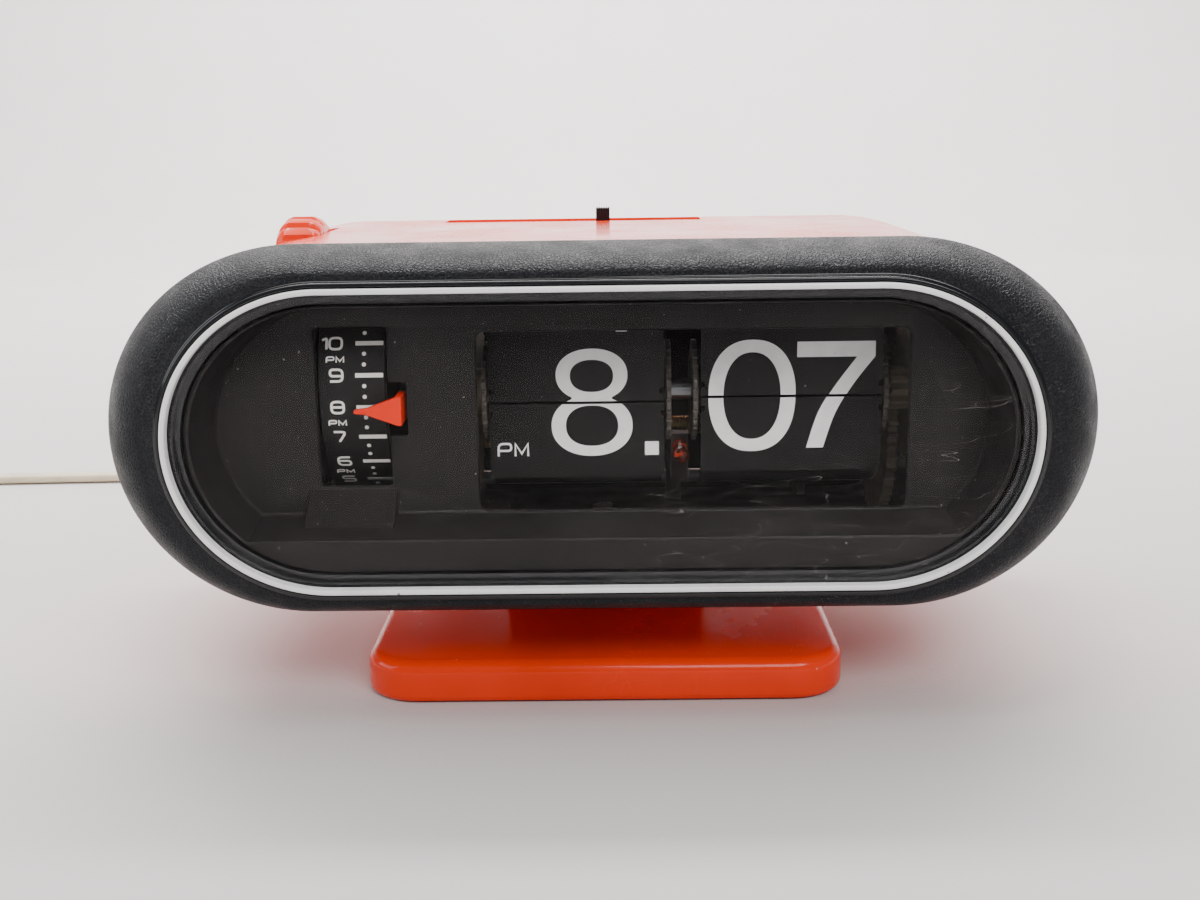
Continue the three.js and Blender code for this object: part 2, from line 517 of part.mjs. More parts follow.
// ---------------------------------------------------------------- alarm work
function addAlarm() {
  const { r, wall, left, right } = ALARM_DRUM;
  const corners = [[r - wall, left], [r, left], [r, right], [r - wall, right], [r - wall, left]];
  const rim = turnedX(corners, ALARM, 48);
  piece('alarm_drum', BLACK, [
    rim, discX(ALARM, r - 1, left, left + 1.4, 24), discX(ALARM, HUB_R, -60.4, right),
    gear(ALARM, TEETH.ringGear, setSize, 0, -60, -57.4), discX(ALARM, 14, -57.6, left + 0.5, 24),
  ], [discX(ALARM, SHAFT_R + GAP, -62, -40)]);
  piece('alarm_shaft', STEEL, [
    discX(ALARM, SHAFT_R, LEFT_PLATE_X - 0.6, CENTRE_PLATE_X - 0.7, 16),
    discX(ALARM, 3.4, -64, -60.8, 16),
  ]);
  const pinionPhase = meshPhase(ALARM, ALARM_WHEEL, TEETH.ringGear, TEETH.alarmPinion, 0);
  piece('alarm_set_wheel', ORANGE, [
    knurledWheel(ALARM_WHEEL, ALARM_WHEEL.r, -70.2, -61, 20),
    gear(ALARM_WHEEL, TEETH.alarmPinion, setSize, pinionPhase, -61.2, -57.2),
  ], [discX(ALARM_WHEEL, 1.8, -72, -56, 14)]);
  piece('alarm_set_pin', STEEL, [discX(ALARM_WHEEL, 1.5, LEFT_PLATE_X - 0.6, -56.8, 14)]);

  const camPhase = meshPhase(ARBOR, ALARM, TEETH.transferPinion, TEETH.camGear, 0);
  piece('alarm_cam_gear', NYLON, [
    gear(ALARM, TEETH.camGear, camSize, camPhase, -33.8, -31.8), discX(ALARM, 12, -36.2, -33.6, 24),
  ], [discX(ALARM, SHAFT_R + GAP, -38, -30)]);
  const pivot = { y: 54, z: 72 };
  piece('alarm_lever', STEEL, [
    alongX(shapeOf([[56.6, 74], [55.5, 75.4], [52, 75.4], [38, 70.2], [37.2, 68.6], [38.6, 67.2], [53, 69.6],
      [56.6, 70]]), -36, -34.6),
    discX(pivot, 3.2, -38, -34.6, 16), box(-36, -34.6, 54, 58.2, 70.6, 73.6),
  ], [discX(pivot, 1.5, -39, -33, 14)]);
  piece('alarm_lever_pin', STEEL, [
    discX(pivot, 1.2, -39, CENTRE_PLATE_X - GAP, 12), discX(pivot, 2.4, -40, -38.4, 12),
  ]);

  const coil = { x: -46, y: 49 };
  piece('buzzer_yoke', STEEL, [
    box(coil.x - 5, coil.x + 5, 41, 60, 22.3, 23.8), box(coil.x - 5, coil.x + 5, 58.4, 60, 22.3, 36.8),
    discZ(coil.x, coil.y, 2.4, 23, 37.6, 14),
  ]);
  piece('buzzer_coil', COPPER, [discZ(coil.x, coil.y, 6.6, 24.1, 36.6, 24)],
    [discZ(coil.x, coil.y, 2.7, 20, 40, 14)]);
  piece('buzzer_reed', STEEL, [
    box(coil.x - 4, coil.x + 4, 41, 60, 38.4, 39), box(coil.x - 4, coil.x + 4, 58.6, 59.8, 37.1, 38.6),
  ]);
}

// ---------------------------------------------------------------- movement frame, motor support and lamp
function addFrame() {
  const across = (points, x, holes) => [[alongX(shapeOf(points), x, x + PLATE)], holes.map(([at, r]) =>
    discX(at, r + GAP, x - 1, x + PLATE + 1, 14))];
  const rodHoles = RODS.map((rod) => [rod, 1.5]);
  const [left, leftHoles] = across(
    [[18, 30], [70, 26.6], [73, 34], [73, 79], [64, 81.4], [44, 81.6], [18, 74]],
    LEFT_PLATE_X, [[ALARM, SHAFT_R], [ALARM_WHEEL, 1.5], ...rodHoles]);
  piece('left_frame_plate', STEEL, [...left, box(LEFT_PLATE_X, -66, 30, 60, 27.6, 28.8)], leftHoles);
  const [centre, centreHoles] = across([[12, 22.4], [72, 22.4], [74, 82], [8, 82], [8, 50], [12, 44]],
    CENTRE_PLATE_X, [[DISPLAY, SHAFT_R], [ARBOR, SHAFT_R], ...rodHoles]);
  piece('centre_frame_plate', STEEL, [...centre, box(CENTRE_PLATE_X, -22, 30, 64, 22.4, 23.6)], centreHoles);
  const [right, rightHoles] = across([[10, 30], [40, 24.6], [82, 28], [82, 62], [73, 80], [10, 80]],
    RIGHT_PLATE_X, [[DISPLAY, SHAFT_R], [ARBOR, SHAFT_R], [TIME_WHEEL, 1.5], [MOTOR, 1.3], ...rodHoles]);
  piece('right_frame_plate', STEEL, right, rightHoles);
  for (const rod of RODS) {
    piece(rod.name, STEEL, [discX(rod, 1.5, LEFT_PLATE_X - 0.8, RIGHT_PLATE_X + PLATE - GAP, 12)]);
  }
  const fingers = [[HOUR, 4], [MINUTE, 30.8]].map(([side, middle]) => {
    const tip = side.split + LEAF.height - 2 * GAP;
    const finger = shapeOf([[14.4, 79.6], [14.3, tip], [14.9, tip], [15.2, 79.6]]);
    return alongX(finger, middle - 1.1, middle + 1.1);
  });
  piece('leaf_stop_springs', STEEL, [
    box(CENTRE_PLATE_X + PLATE + GAP, RIGHT_PLATE_X - GAP, 12.2, 20, 79.4, 80.6), ...fingers,
  ]);
  piece('neon_lamp', GLASS, [
    new THREE.CylinderGeometry(1.6, 1.6, 9, 14).translate(16.4, 24.5, 44),
    new THREE.SphereGeometry(1.6, 14, 8).translate(16.4, 20, 44),
  ]);
  piece('lamp_holder', DARK, [box(14.6, 18.2, 29.3, 33, 36.6, 46.6), box(14.6, 18.2, 33, 62.2, 36.6, 38.4),
    box(14.6, 18.2, 61, 62.2, 24, 38)]);
}

// ---------------------------------------------------------------- mains lead
const ROUTE = [
  [-40, 78.6, 38], [-40, 86, 37.2], [-40.5, 93, 33], [-42, 99, 25.5], [-44.5, 104, 16.5], [-48.5, 109, 8.6],
  [-54.5, 114.5, 3.6], [-63, 120.5, 1.7], [-75, 127, 1.6], [-90, 133, 1.6], [-108, 137.6, 1.6],
  [-128, 140.4, 1.6], [-150, 141.4, 1.6], [-172, 140.8, 1.6], [-194, 140, 1.6], [-216, 139.4, 1.6],
];
const LEAD_Z = 1.6;
const PLUG_Z = 6.2;
const CORD_STEPS = 36;

function addLead() {
  const bootProfile = [[0, 49.6], [5.2, 49.6], [5.2, 51.6], [4.2, 52.4], [3, 78.3], [0, 78.3]];
  const boot = new THREE.LatheGeometry(bootProfile.map(([r, y]) => new THREE.Vector2(r, y)), 16);
  piece('strain_relief', IVORY, [boot.translate(CORD_EXIT.x, 0, CORD_EXIT.z)], [], lead);

  const curve = new THREE.CatmullRomCurve3(ROUTE.map((p) => new THREE.Vector3(...p)));
  const half = CORD.width / 2;
  const thin = CORD.thick / 2;
  const section = [[half - 1, -thin], [half, 0.6 - thin], [half, thin - 0.6], [half - 1, thin],
    [1 - half, thin], [-half, thin - 0.6], [-half, 0.6 - thin], [1 - half, -thin]];
  const rings = [];
  for (let i = 0; i <= CORD_STEPS; i++) {
    const at = curve.getPointAt(i / CORD_STEPS);
    const along = curve.getTangentAt(i / CORD_STEPS);
    const across = new THREE.Vector3(along.y, -along.x, 0).normalize();
    const up = new THREE.Vector3().crossVectors(across, along);
    rings.push(section.map(([u, v]) =>
      at.clone().addScaledVector(across, u).addScaledVector(up, v).toArray()));
  }
  piece('power_cord', IVORY, [loft(rings, false)], [], lead);

  const inside = COIL.inner - half - GAP;
  const outside = COIL_OUTER + half + GAP;
  const top = LEAD_Z + 1.5 * CORD.thick + GAP;
  piece('cord_coil', IVORY, [alongZ(shapeOf(circle(COIL.x, COIL.y, outside, 40)), 0.1, top)],
    [alongZ(shapeOf(circle(COIL.x, COIL.y, inside, 32)), -1, top + 1)], lead);

  const plugY = COIL.y - COIL_OUTER;
  const start = COIL.x + 27;
  const side = [[0, 5], [6, 9], [12, 11.5], [26, 11.5], [27, 10.5]];
  const outline = [
    ...side.map(([x, y]) => [start + x, plugY - y]),
    ...side.map(([x, y]) => [start + x, plugY + y]).reverse(),
  ];
  const blades = [-6.35, 6.35].map((y) =>
    box(start + 26, start + 44, plugY + y - 0.75, plugY + y + 0.75, PLUG_Z - 3.1, PLUG_Z + 3.1));
  piece('plug', IVORY, [alongZ(shapeOf(outline), 0.1, 2 * PLUG_Z - 0.1), ...blades], [], lead);
}

addBezel();
addFront();
addMask();
addCase();
addSwitch();
addPedestal();
addLeaves('hour', HOUR);
addLeaves('minute', MINUTE);
addDisplayTrain();
addAlarm();
addFrame();
addLead();

export default object;
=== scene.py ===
import math

import bmesh
import bpy
from mathutils import Matrix, Vector


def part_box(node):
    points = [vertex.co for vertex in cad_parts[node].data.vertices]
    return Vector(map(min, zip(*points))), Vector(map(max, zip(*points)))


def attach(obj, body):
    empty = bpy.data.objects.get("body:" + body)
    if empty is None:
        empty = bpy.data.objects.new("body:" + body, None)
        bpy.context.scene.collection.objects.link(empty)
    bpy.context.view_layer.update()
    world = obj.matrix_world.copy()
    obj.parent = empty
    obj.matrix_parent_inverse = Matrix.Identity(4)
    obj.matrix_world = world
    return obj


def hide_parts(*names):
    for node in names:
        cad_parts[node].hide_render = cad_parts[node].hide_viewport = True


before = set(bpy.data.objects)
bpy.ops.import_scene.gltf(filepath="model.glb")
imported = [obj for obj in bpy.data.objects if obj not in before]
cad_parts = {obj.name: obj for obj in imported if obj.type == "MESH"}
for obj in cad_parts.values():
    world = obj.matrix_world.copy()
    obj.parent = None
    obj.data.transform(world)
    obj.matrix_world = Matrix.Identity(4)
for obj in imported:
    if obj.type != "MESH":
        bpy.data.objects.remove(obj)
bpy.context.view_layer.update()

# A flip number clock with a 24-hour alarm drum, on a pedestal. Shapes are written in clock millimetres:
# x to the right, y back from the bezel's rim, z up from the table. `piece` turns them into metres.
MM = 0.001
RIM_Y = -39.5                 # the rim plane's place in the frame
CENTRE_Z = 54.3               # height of the case's long axis
ROUND = 48                    # steps in a quarter of a large outline
UP = Vector((0, 0, 1))
CENTRE_R = 0.01               # a turned profile starts this far from its axis


def clock_box(node):
    """A CAD node's lowest and highest corners in clock millimetres."""
    low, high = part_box(node)
    rim = Vector((0, RIM_Y, 0))
    return low / MM - rim, high / MM - rim


def add_object(name, data):
    holder = bpy.data.objects.new(name, data)
    bpy.context.scene.collection.objects.link(holder)
    return holder


def on_circle(centre, radius, angle):
    return centre[0] + radius * math.cos(angle), centre[1] + radius * math.sin(angle)


# ---------------------------------------------------------------- camera and light
def add_camera():
    eye = Vector((2.83, -302.78, 109.80)) * MM
    right = Vector((0.99986733, 0.00888902, -0.01364979))
    up = Vector((0.01133328, 0.22226169, 0.97492118))
    back = Vector((0.01169992, -0.97494653, 0.22213146))
    camera = bpy.data.cameras.new("camera")
    camera.lens = 42
    camera.sensor_width = 36
    camera.clip_start = 0.01
    holder = add_object("camera", camera)
    holder.matrix_world = Matrix.Translation(eye) @ Matrix((right, up, back)).transposed().to_4x4()
    bpy.context.scene.camera = holder


def add_softbox(name, place, target, width, height, watts, colour=(1, 1, 1)):
    light = bpy.data.lights.new(name, "AREA")
    light.shape = "RECTANGLE"
    light.size = width
    light.size_y = height
    light.energy = watts
    light.color = colour
    holder = add_object(name, light)
    holder.location = place
    aim = Vector(target) - Vector(place)
    holder.rotation_euler = aim.to_track_quat("-Z", "Y").to_euler()


def add_studio():
    """A pale floor that curves up into a pale wall, soft lamps and a dim room."""
    world = bpy.data.worlds.new("room")
    world.use_nodes = True
    world.node_tree.nodes["Background"].inputs["Color"].default_value = (0.80, 0.86, 1.0, 1)
    world.node_tree.nodes["Background"].inputs["Strength"].default_value = 0.25
    bpy.context.scene.world = world
    middle = (0, 0, 0.06)
    add_softbox("top_softbox", (-0.15, 0.25, 1.15), middle, 1.3, 1.0, 16, (1, 0.98, 0.96))
    add_softbox("left_softbox", (-1.05, -0.15, 0.55), middle, 0.8, 0.7, 7, (0.95, 0.98, 1))
    add_softbox("front_softbox", (0.45, -1.1, 1.0), middle, 0.9, 0.5, 15, (1, 0.99, 0.98))
    add_softbox("wall_wash", (0, 0.62, 1.15), (0, 1.35, 0.3), 1.6, 0.5, 60)

    half_width, front, wall, height, bend = 2.2, -1.3, 1.35, 1.6, 0.45
    profile = [(front, 0), (wall - bend, 0)]
    for step in range(1, 13):
        angle = math.pi / 2 * step / 12
        profile.append((wall - bend + bend * math.sin(angle), bend - bend * math.cos(angle)))
    profile.append((wall, height))
    points = [(side * half_width, y, z) for y, z in profile for side in (-1, 1)]
    faces = [(2 * i, 2 * i + 1, 2 * i + 3, 2 * i + 2) for i in range(len(profile) - 1)]
    mesh = bpy.data.meshes.new("floor")
    mesh.from_pydata(points, [], faces)
    mesh.shade_smooth()
    floor = add_object("floor", mesh)
    paint = Paint("pale_floor", (0.60, 0.58, 0.56), roughness=0.55)
    paint.colour(paint.blend(paint.noise(9, 3), (0.58, 0.56, 0.54), (0.63, 0.61, 0.59)))
    paint.bump(paint.noise(900, 3), 0.00006)
    mesh.materials.append(paint.material)


# ---------------------------------------------------------------- materials
class Paint:
    """A Principled material, built up a node at a time."""

    def __init__(self, name, colour, roughness=0.5, **settings):
        self.material = bpy.data.materials.new(name)
        self.material.use_nodes = True
        self.tree = self.material.node_tree
        self.shader = self.tree.nodes["Principled BSDF"]
        self.place = self.node("ShaderNodeTexCoord").outputs["Object"]
        self.shader.inputs["Base Color"].default_value = (*colour, 1)
        self.shader.inputs["Roughness"].default_value = roughness
        for socket, value in settings.items():
            self.shader.inputs[socket.replace("_", " ")].default_value = value

    def node(self, kind, inputs=(), **settings):
        made = self.tree.nodes.new(kind)
        for key, value in settings.items():
            setattr(made, key, value)
        for socket, value in dict(inputs).items():
            self.feed(made.inputs[socket], value)
        return made

    def feed(self, socket, value):
        if isinstance(value, bpy.types.NodeSocket):
            self.tree.links.new(value, socket)
        elif isinstance(value, tuple) and len(value) == 3 and socket.type == "RGBA":
            socket.default_value = (*value, 1)
        else:
            socket.default_value = value

    def stretched(self, x, y, z):
        """The place in the piece, scaled on each axis: a small scale draws a pattern out along that axis."""
        return self.node("ShaderNodeVectorMath", {0: self.place, 1: (x, y, z)},
                         operation="MULTIPLY").outputs[0]

    def noise(self, scale, detail=2, roughness=0.5, vector=None, distortion=0):
        made = self.node("ShaderNodeTexNoise", {
            "Vector": vector or self.place, "Scale": scale, "Detail": detail, "Roughness": roughness,
            "Distortion": distortion})
        return made.outputs["Fac"]

    def cells(self, scale, feature="F1", vector=None):
        made = self.node("ShaderNodeTexVoronoi", {"Vector": vector or self.place, "Scale": scale},
                         feature=feature)
        return made.outputs["Distance"]

    def span(self, value, low, high, to_low=0.0, to_high=1.0):
        """value's range low..high as to_low..to_high, held at the ends."""
        made = self.node("ShaderNodeMapRange", {
            "Value": value, "From Min": low, "From Max": high, "To Min": to_low, "To Max": to_high})
        return made.outputs[0]

    def maths(self, operation, a, b):
        return self.node("ShaderNodeMath", {0: a, 1: b}, operation=operation).outputs[0]

    def times(self, a, b):
        return self.maths("MULTIPLY", a, b)

    def most(self, a, b):
        return self.maths("MAXIMUM", a, b)

    def blend(self, share, a, b):
        made = self.node("ShaderNodeMix", data_type="RGBA")
        self.feed(made.inputs["Factor"], share)
        self.feed(made.inputs[6], a)
        self.feed(made.inputs[7], b)
        return made.outputs[2]

    def colour(self, value):
        self.feed(self.shader.inputs["Base Color"], value)

    def rough(self, value):
        self.feed(self.shader.inputs["Roughness"], value)

    def patchy(self, scale, detail, low, high):
        """Roughness that drifts from low to high over the surface."""
        self.rough(self.span(self.noise(scale, detail), 0.3, 0.7, low, high))

    def bump(self, height, distance, strength=1.0):
        made = self.node("ShaderNodeBump", {"Height": height, "Distance": distance, "Strength": strength})
        normal = self.shader.inputs["Normal"]
        if normal.is_linked:
            self.tree.links.new(normal.links[0].from_socket, made.inputs["Normal"])
        self.tree.links.new(made.outputs["Normal"], normal)

    def specks(self, scale, share, size=0.12):
        """Sparse dots: 1 inside a speck and 0 elsewhere. share is how many cells hold one."""
        cell = self.node("ShaderNodeTexVoronoi", {"Vector": self.place, "Scale": scale})
        chosen = self.span(self.node("ShaderNodeSeparateColor", {0: cell.outputs["Color"]}).outputs[0],
                           1 - share, 1 - share + 0.01)
        dot = self.span(cell.outputs["Distance"], size, size * 0.6)
        return self.times(chosen, dot)

    def scratches(self, scale, stretch=(1, 12, 1), share=0.04):
        """Thin broken lines along the least stretched axes."""
        line = self.noise(scale, 1, 0.3, self.stretched(*stretch), 0.4)
        thin = self.span(self.maths("ABSOLUTE", self.maths("SUBTRACT", line, 0.5), 0), share * 0.1, 0)
        return self.times(thin, self.span(self.noise(scale * 0.21, 2), 0.52, 0.6))

    def edge_wear(self, radius, low=0.06, high=0.22):
        """1 at worn convex edges, by how far a rounded normal leans from the true one."""
        soft = self.node("ShaderNodeBevel", {"Radius": radius}, samples=4).outputs[0]
        sharp = self.node("ShaderNodeNewGeometry").outputs["Normal"]
        dot = self.node("ShaderNodeVectorMath", {0: soft, 1: sharp}, operation="DOT_PRODUCT").outputs["Value"]
        return self.span(dot, 1 - low, 1 - high)


def leatherette():
    """Black moulded plastic with a pressed leather grain, dust in the grain and a few scuffs."""
    paint = Paint("leatherette_black", (0.010, 0.0105, 0.012), 0.5, Specular_IOR_Level=0.25)
    drift = paint.node("ShaderNodeTexNoise", {"Vector": paint.place, "Scale": 700, "Detail": 2})
    shift = paint.node("ShaderNodeVectorMath", {0: drift.outputs["Color"], 1: (0.0008, 0.0008, 0.0008)},
                       operation="MULTIPLY")
    warped = paint.node("ShaderNodeVectorMath", {0: paint.place, 1: shift.outputs[0]}, operation="ADD")
    pebble = paint.cells(1450, "DISTANCE_TO_EDGE", warped.outputs[0])
    crease = paint.span(pebble, 0.0, 0.22)
    fold = paint.noise(210, 3, 0.6)
    paint.bump(fold, 0.00008, 0.5)
    paint.bump(crease, 0.00014, 0.9)
    paint.bump(paint.noise(5200, 2), 0.00001, 0.5)
    dust = paint.times(paint.span(crease, 0.7, 0.0), paint.span(paint.noise(60, 3), 0.42, 0.7, 0, 0.55))
    scuff = paint.most(paint.scratches(130, (1, 1, 7)), paint.specks(230, 0.05, 0.06))
    base = paint.blend(paint.noise(45, 3), (0.0052, 0.0057, 0.0078), (0.0088, 0.0094, 0.0120))
    dusty = paint.blend(dust, base, (0.022, 0.021, 0.020))
    paint.colour(paint.blend(paint.times(scuff, 0.6), dusty, (0.15, 0.135, 0.11)))
    paint.patchy(160, 4, 0.36, 0.56)
    return paint.material


def gloss_black():
    paint = Paint("gloss_black", (0.008, 0.008, 0.009), 0.14)
    paint.rough(paint.span(paint.noise(300, 3), 0.35, 0.7, 0.09, 0.26))
    paint.colour(paint.blend(paint.specks(260, 0.12, 0.1), (0.008, 0.008, 0.009), (0.12, 0.11, 0.10)))
    paint.bump(paint.noise(240, 2), 0.00003, 0.5)
    return paint.material


def orange_enamel(name="orange_enamel", tint=(0.84, 0.034, 0.0)):
    """Glossy injection-moulded orange, with handling marks, hairline scratches and dust."""
    paint = Paint(name, tint, 0.2, Coat_Weight=0.2, Coat_Roughness=0.04, Specular_IOR_Level=0.12)
    deep = tuple(0.86 * part for part in tint)
    worn = tuple(min(1.0, 1.08 * part + 0.004) for part in tint)
    mottled = paint.blend(paint.span(paint.noise(26, 4), 0.3, 0.7), deep, worn)
    marks = paint.most(paint.scratches(95, (1, 9, 1)), paint.scratches(80, (7, 1, 1)))
    dust = paint.specks(310, 0.14, 0.075)
    scuffed = paint.blend(paint.times(marks, 0.09), mottled, (0.9, 0.30, 0.17))
    dusted = paint.blend(paint.times(dust, 0.5), scuffed, (0.75, 0.45, 0.36))
    paint.colour(paint.blend(paint.times(paint.edge_wear(0.0006), 0.3), dusted, (0.95, 0.08, 0.01)))
    smear = paint.span(paint.noise(48, 4, 0.6), 0.35, 0.72, 0.13, 0.32)
    paint.rough(paint.most(smear, paint.times(marks, 0.42)))
    paint.bump(paint.noise(55, 2), 0.00022, 0.35)
    paint.bump(marks, 0.00001, 0.5)
    return paint.material


def white_enamel():
    paint = Paint("white_enamel", (0.78, 0.76, 0.73), 0.28)
    grime = paint.times(paint.span(paint.noise(70, 4), 0.5, 0.75), 0.5)
    aged = paint.blend(grime, (0.96, 0.95, 0.93), (0.74, 0.70, 0.64))
    paint.colour(paint.blend(paint.specks(420, 0.1, 0.14), aged, (0.24, 0.20, 0.16)))
    paint.patchy(200, 3, 0.2, 0.4)
    paint.bump(paint.noise(500, 2), 0.00002, 0.5)
    return paint.material


def clear_lens():
    """Clear acrylic with dust and a faint haze. It lets the lamps through to the dial."""
    paint = Paint("clear_acrylic", (0.99, 0.987, 0.985), 0.02, Transmission_Weight=1.0, IOR=1.12)
    paint.bump(paint.noise(35, 2), 0.00004, 0.3)
    tree = paint.tree
    output = tree.nodes["Material Output"]
    lamp_ray = paint.node("ShaderNodeLightPath").outputs["Is Shadow Ray"]
    through = paint.node("ShaderNodeBsdfTransparent", {"Color": (0.99, 0.985, 0.98)})
    lit = paint.node("ShaderNodeMixShader", {0: lamp_ray, 1: paint.shader.outputs[0], 2: through.outputs[0]})
    haze = paint.node("ShaderNodeBsdfDiffuse", {"Color": (0.60, 0.55, 0.50)})
    speck = paint.most(paint.specks(240, 0.10, 0.06), paint.specks(520, 0.07, 0.08))
    hair = paint.scratches(60, (1, 1, 5), 0.02)
    film = paint.span(paint.noise(30, 4, 0.6), 0.35, 0.8, 0.0, 0.005)
    share = paint.most(paint.times(paint.most(speck, hair), 0.3), film)
    dusty = paint.node("ShaderNodeMixShader", {0: share, 1: lit.outputs[0], 2: haze.outputs[0]})
    tree.links.new(dusty.outputs[0], output.inputs["Surface"])
    return paint.material


def satin_plastic(name, dark, light, grain=1500, roughness=(0.38, 0.55), dust=0.1):
    """A spark-textured moulding, with dust and slightly polished edges."""
    paint = Paint(name, dark, 0.5, Specular_IOR_Level=0.2)
    body = paint.blend(paint.noise(70, 4), dark, light)
    edge = tuple(min(1.0, 2.2 * part + 0.01) for part in light)
    rubbed = paint.blend(paint.times(paint.edge_wear(0.00035), 0.5), body, edge)
    motes = paint.most(paint.specks(330, dust, 0.08), paint.specks(900, dust * 0.7, 0.12))
    paint.colour(paint.blend(paint.times(motes, 0.6), rubbed, (0.30, 0.28, 0.26)))
    paint.patchy(180, 3, *roughness)
    paint.bump(paint.noise(grain, 3), 0.000006, 0.5)
    return paint.material


def leaf_plastic():
    """Thin matt black leaves, rubbed in faint streaks along their length."""
    paint = Paint("leaf_black", (0.008, 0.007, 0.007), 0.5, Specular_IOR_Level=0.2)
    streak = paint.noise(260, 3, 0.6, paint.stretched(0.12, 1, 1))
    body = paint.blend(streak, (0.0065, 0.0056, 0.0054), (0.0120, 0.0104, 0.0100))
    paint.colour(paint.blend(paint.times(paint.specks(500, 0.06, 0.09), 0.5), body, (0.25, 0.23, 0.22)))
    paint.rough(paint.span(streak, 0.3, 0.7, 0.42, 0.6))
    paint.bump(paint.noise(2500, 2), 0.000004, 0.4)
    return paint.material


def printed(name, colour):
    """Screen-printed ink: uneven cover and a soft sheen."""
    paint = Paint(name, colour, 0.42)
    thin = tuple(0.92 * part for part in colour)
    paint.colour(paint.blend(paint.span(paint.noise(420, 3), 0.35, 0.7), colour, thin))
    paint.patchy(900, 2, 0.36, 0.5)
    paint.bump(paint.noise(2600, 2), 0.000012, 0.5)
    return paint.material


def brushed_steel(name="zinc_steel", colour=(0.42, 0.42, 0.43), stretch=(1, 0.06, 1)):
    """Plated sheet or bar, brushed along one axis, with stains."""
    paint = Paint(name, colour, 0.35, Metallic=1.0)
    lines = paint.noise(2600, 2, 0.5, paint.stretched(*stretch))
    stain = paint.span(paint.noise(60, 4, 0.6), 0.5, 0.75)
    dull = tuple(0.55 * part for part in colour)
    paint.colour(paint.blend(paint.times(stain, 0.6), colour, dull))
    paint.rough(paint.span(lines, 0.3, 0.7, 0.26, 0.5))
    paint.bump(lines, 0.00001, 0.5)
    return paint.material


def turned_brass():
    paint = Paint("turned_brass", (0.62, 0.42, 0.16), 0.3, Metallic=1.0)
    rings = paint.noise(4200, 2, 0.5, paint.stretched(1, 0.05, 0.05))
    tarnish = paint.span(paint.noise(140, 4), 0.45, 0.75, 0, 0.7)
    paint.colour(paint.blend(tarnish, (0.66, 0.45, 0.18), (0.30, 0.19, 0.08)))
    paint.rough(paint.span(rings, 0.3, 0.7, 0.2, 0.42))
    paint.bump(rings, 0.00001, 0.5)
    return paint.material


def nylon():
    """Milky gear plastic with grease darkening between the teeth."""
    paint = Paint("gear_nylon", (0.30, 0.26, 0.20), 0.4, Subsurface_Weight=0.15, Subsurface_Scale=0.001)
    grease = paint.span(paint.noise(220, 4, 0.6), 0.5, 0.72, 0, 0.6)
    paint.colour(paint.blend(grease, (0.33, 0.28, 0.21), (0.17, 0.135, 0.09)))
    paint.patchy(400, 3, 0.28, 0.5)
    paint.bump(paint.noise(800, 2), 0.00002, 0.5)
    return paint.material


def enamelled_wire():
    paint = Paint("enamelled_wire", (0.36, 0.10, 0.03), 0.3, Metallic=0.6)
    turn_relief_and_shade = paint.node("ShaderNodeTexWave", {"Vector": paint.place, "Scale": 560, "Distortion": 0.6},
                       wave_type="BANDS", bands_direction="Z").outputs["Fac"]
    # Each wound turn is painted dark in its groove and light on its crest: painted shade and highlight, over
    # the same bump.
    paint.colour(paint.blend(turn_relief_and_shade, (0.14, 0.035, 0.012), (0.46, 0.15, 0.05)))
    paint.bump(turn_relief_and_shade, 0.00015, 0.9)
    return paint.material


def neon_glow():
    """A small sooted neon tube that glows only in spots, at its electrodes."""
    paint = Paint("neon_glow", (0.05, 0.012, 0.006), 0.12)
    spot = paint.span(paint.noise(420, 1), 0.56, 0.66)
    paint.colour(paint.blend(spot, (0.03, 0.010, 0.006), (0.30, 0.03, 0.01)))
    paint.feed(paint.shader.inputs["Emission Color"],
               paint.blend(spot, (0.05, 0.002, 0.0), (1.0, 0.05, 0.004)))
    paint.shader.inputs["Emission Strength"].default_value = 0.25
    return paint.material


def aged_vinyl(name, colour, roughness=(0.34, 0.55)):
    """Ivory cord and plug plastic, yellowed and handled."""
    paint = Paint(name, colour, 0.45, Subsurface_Weight=0.1, Subsurface_Scale=0.002)
    shade = tuple(0.72 * part for part in colour)
    grime = paint.span(paint.noise(85, 5, 0.6), 0.48, 0.78, 0, 0.75)
    paint.colour(paint.blend(grime, colour, shade))
    paint.patchy(260, 3, *roughness)
    paint.bump(paint.noise(700, 3), 0.00005, 0.5)
    paint.bump(paint.noise(3000, 2), 0.00001, 0.4)
    return paint.material


def felt_pad():
    paint = Paint("foot_pad", (0.03, 0.028, 0.027), 0.95, Sheen_Weight=0.3)
    fibre = paint.noise(1900, 5, 0.75)
    paint.colour(paint.blend(fibre, (0.018, 0.017, 0.016), (0.07, 0.065, 0.06)))
    paint.bump(fibre, 0.0003, 0.9)
    return paint.material


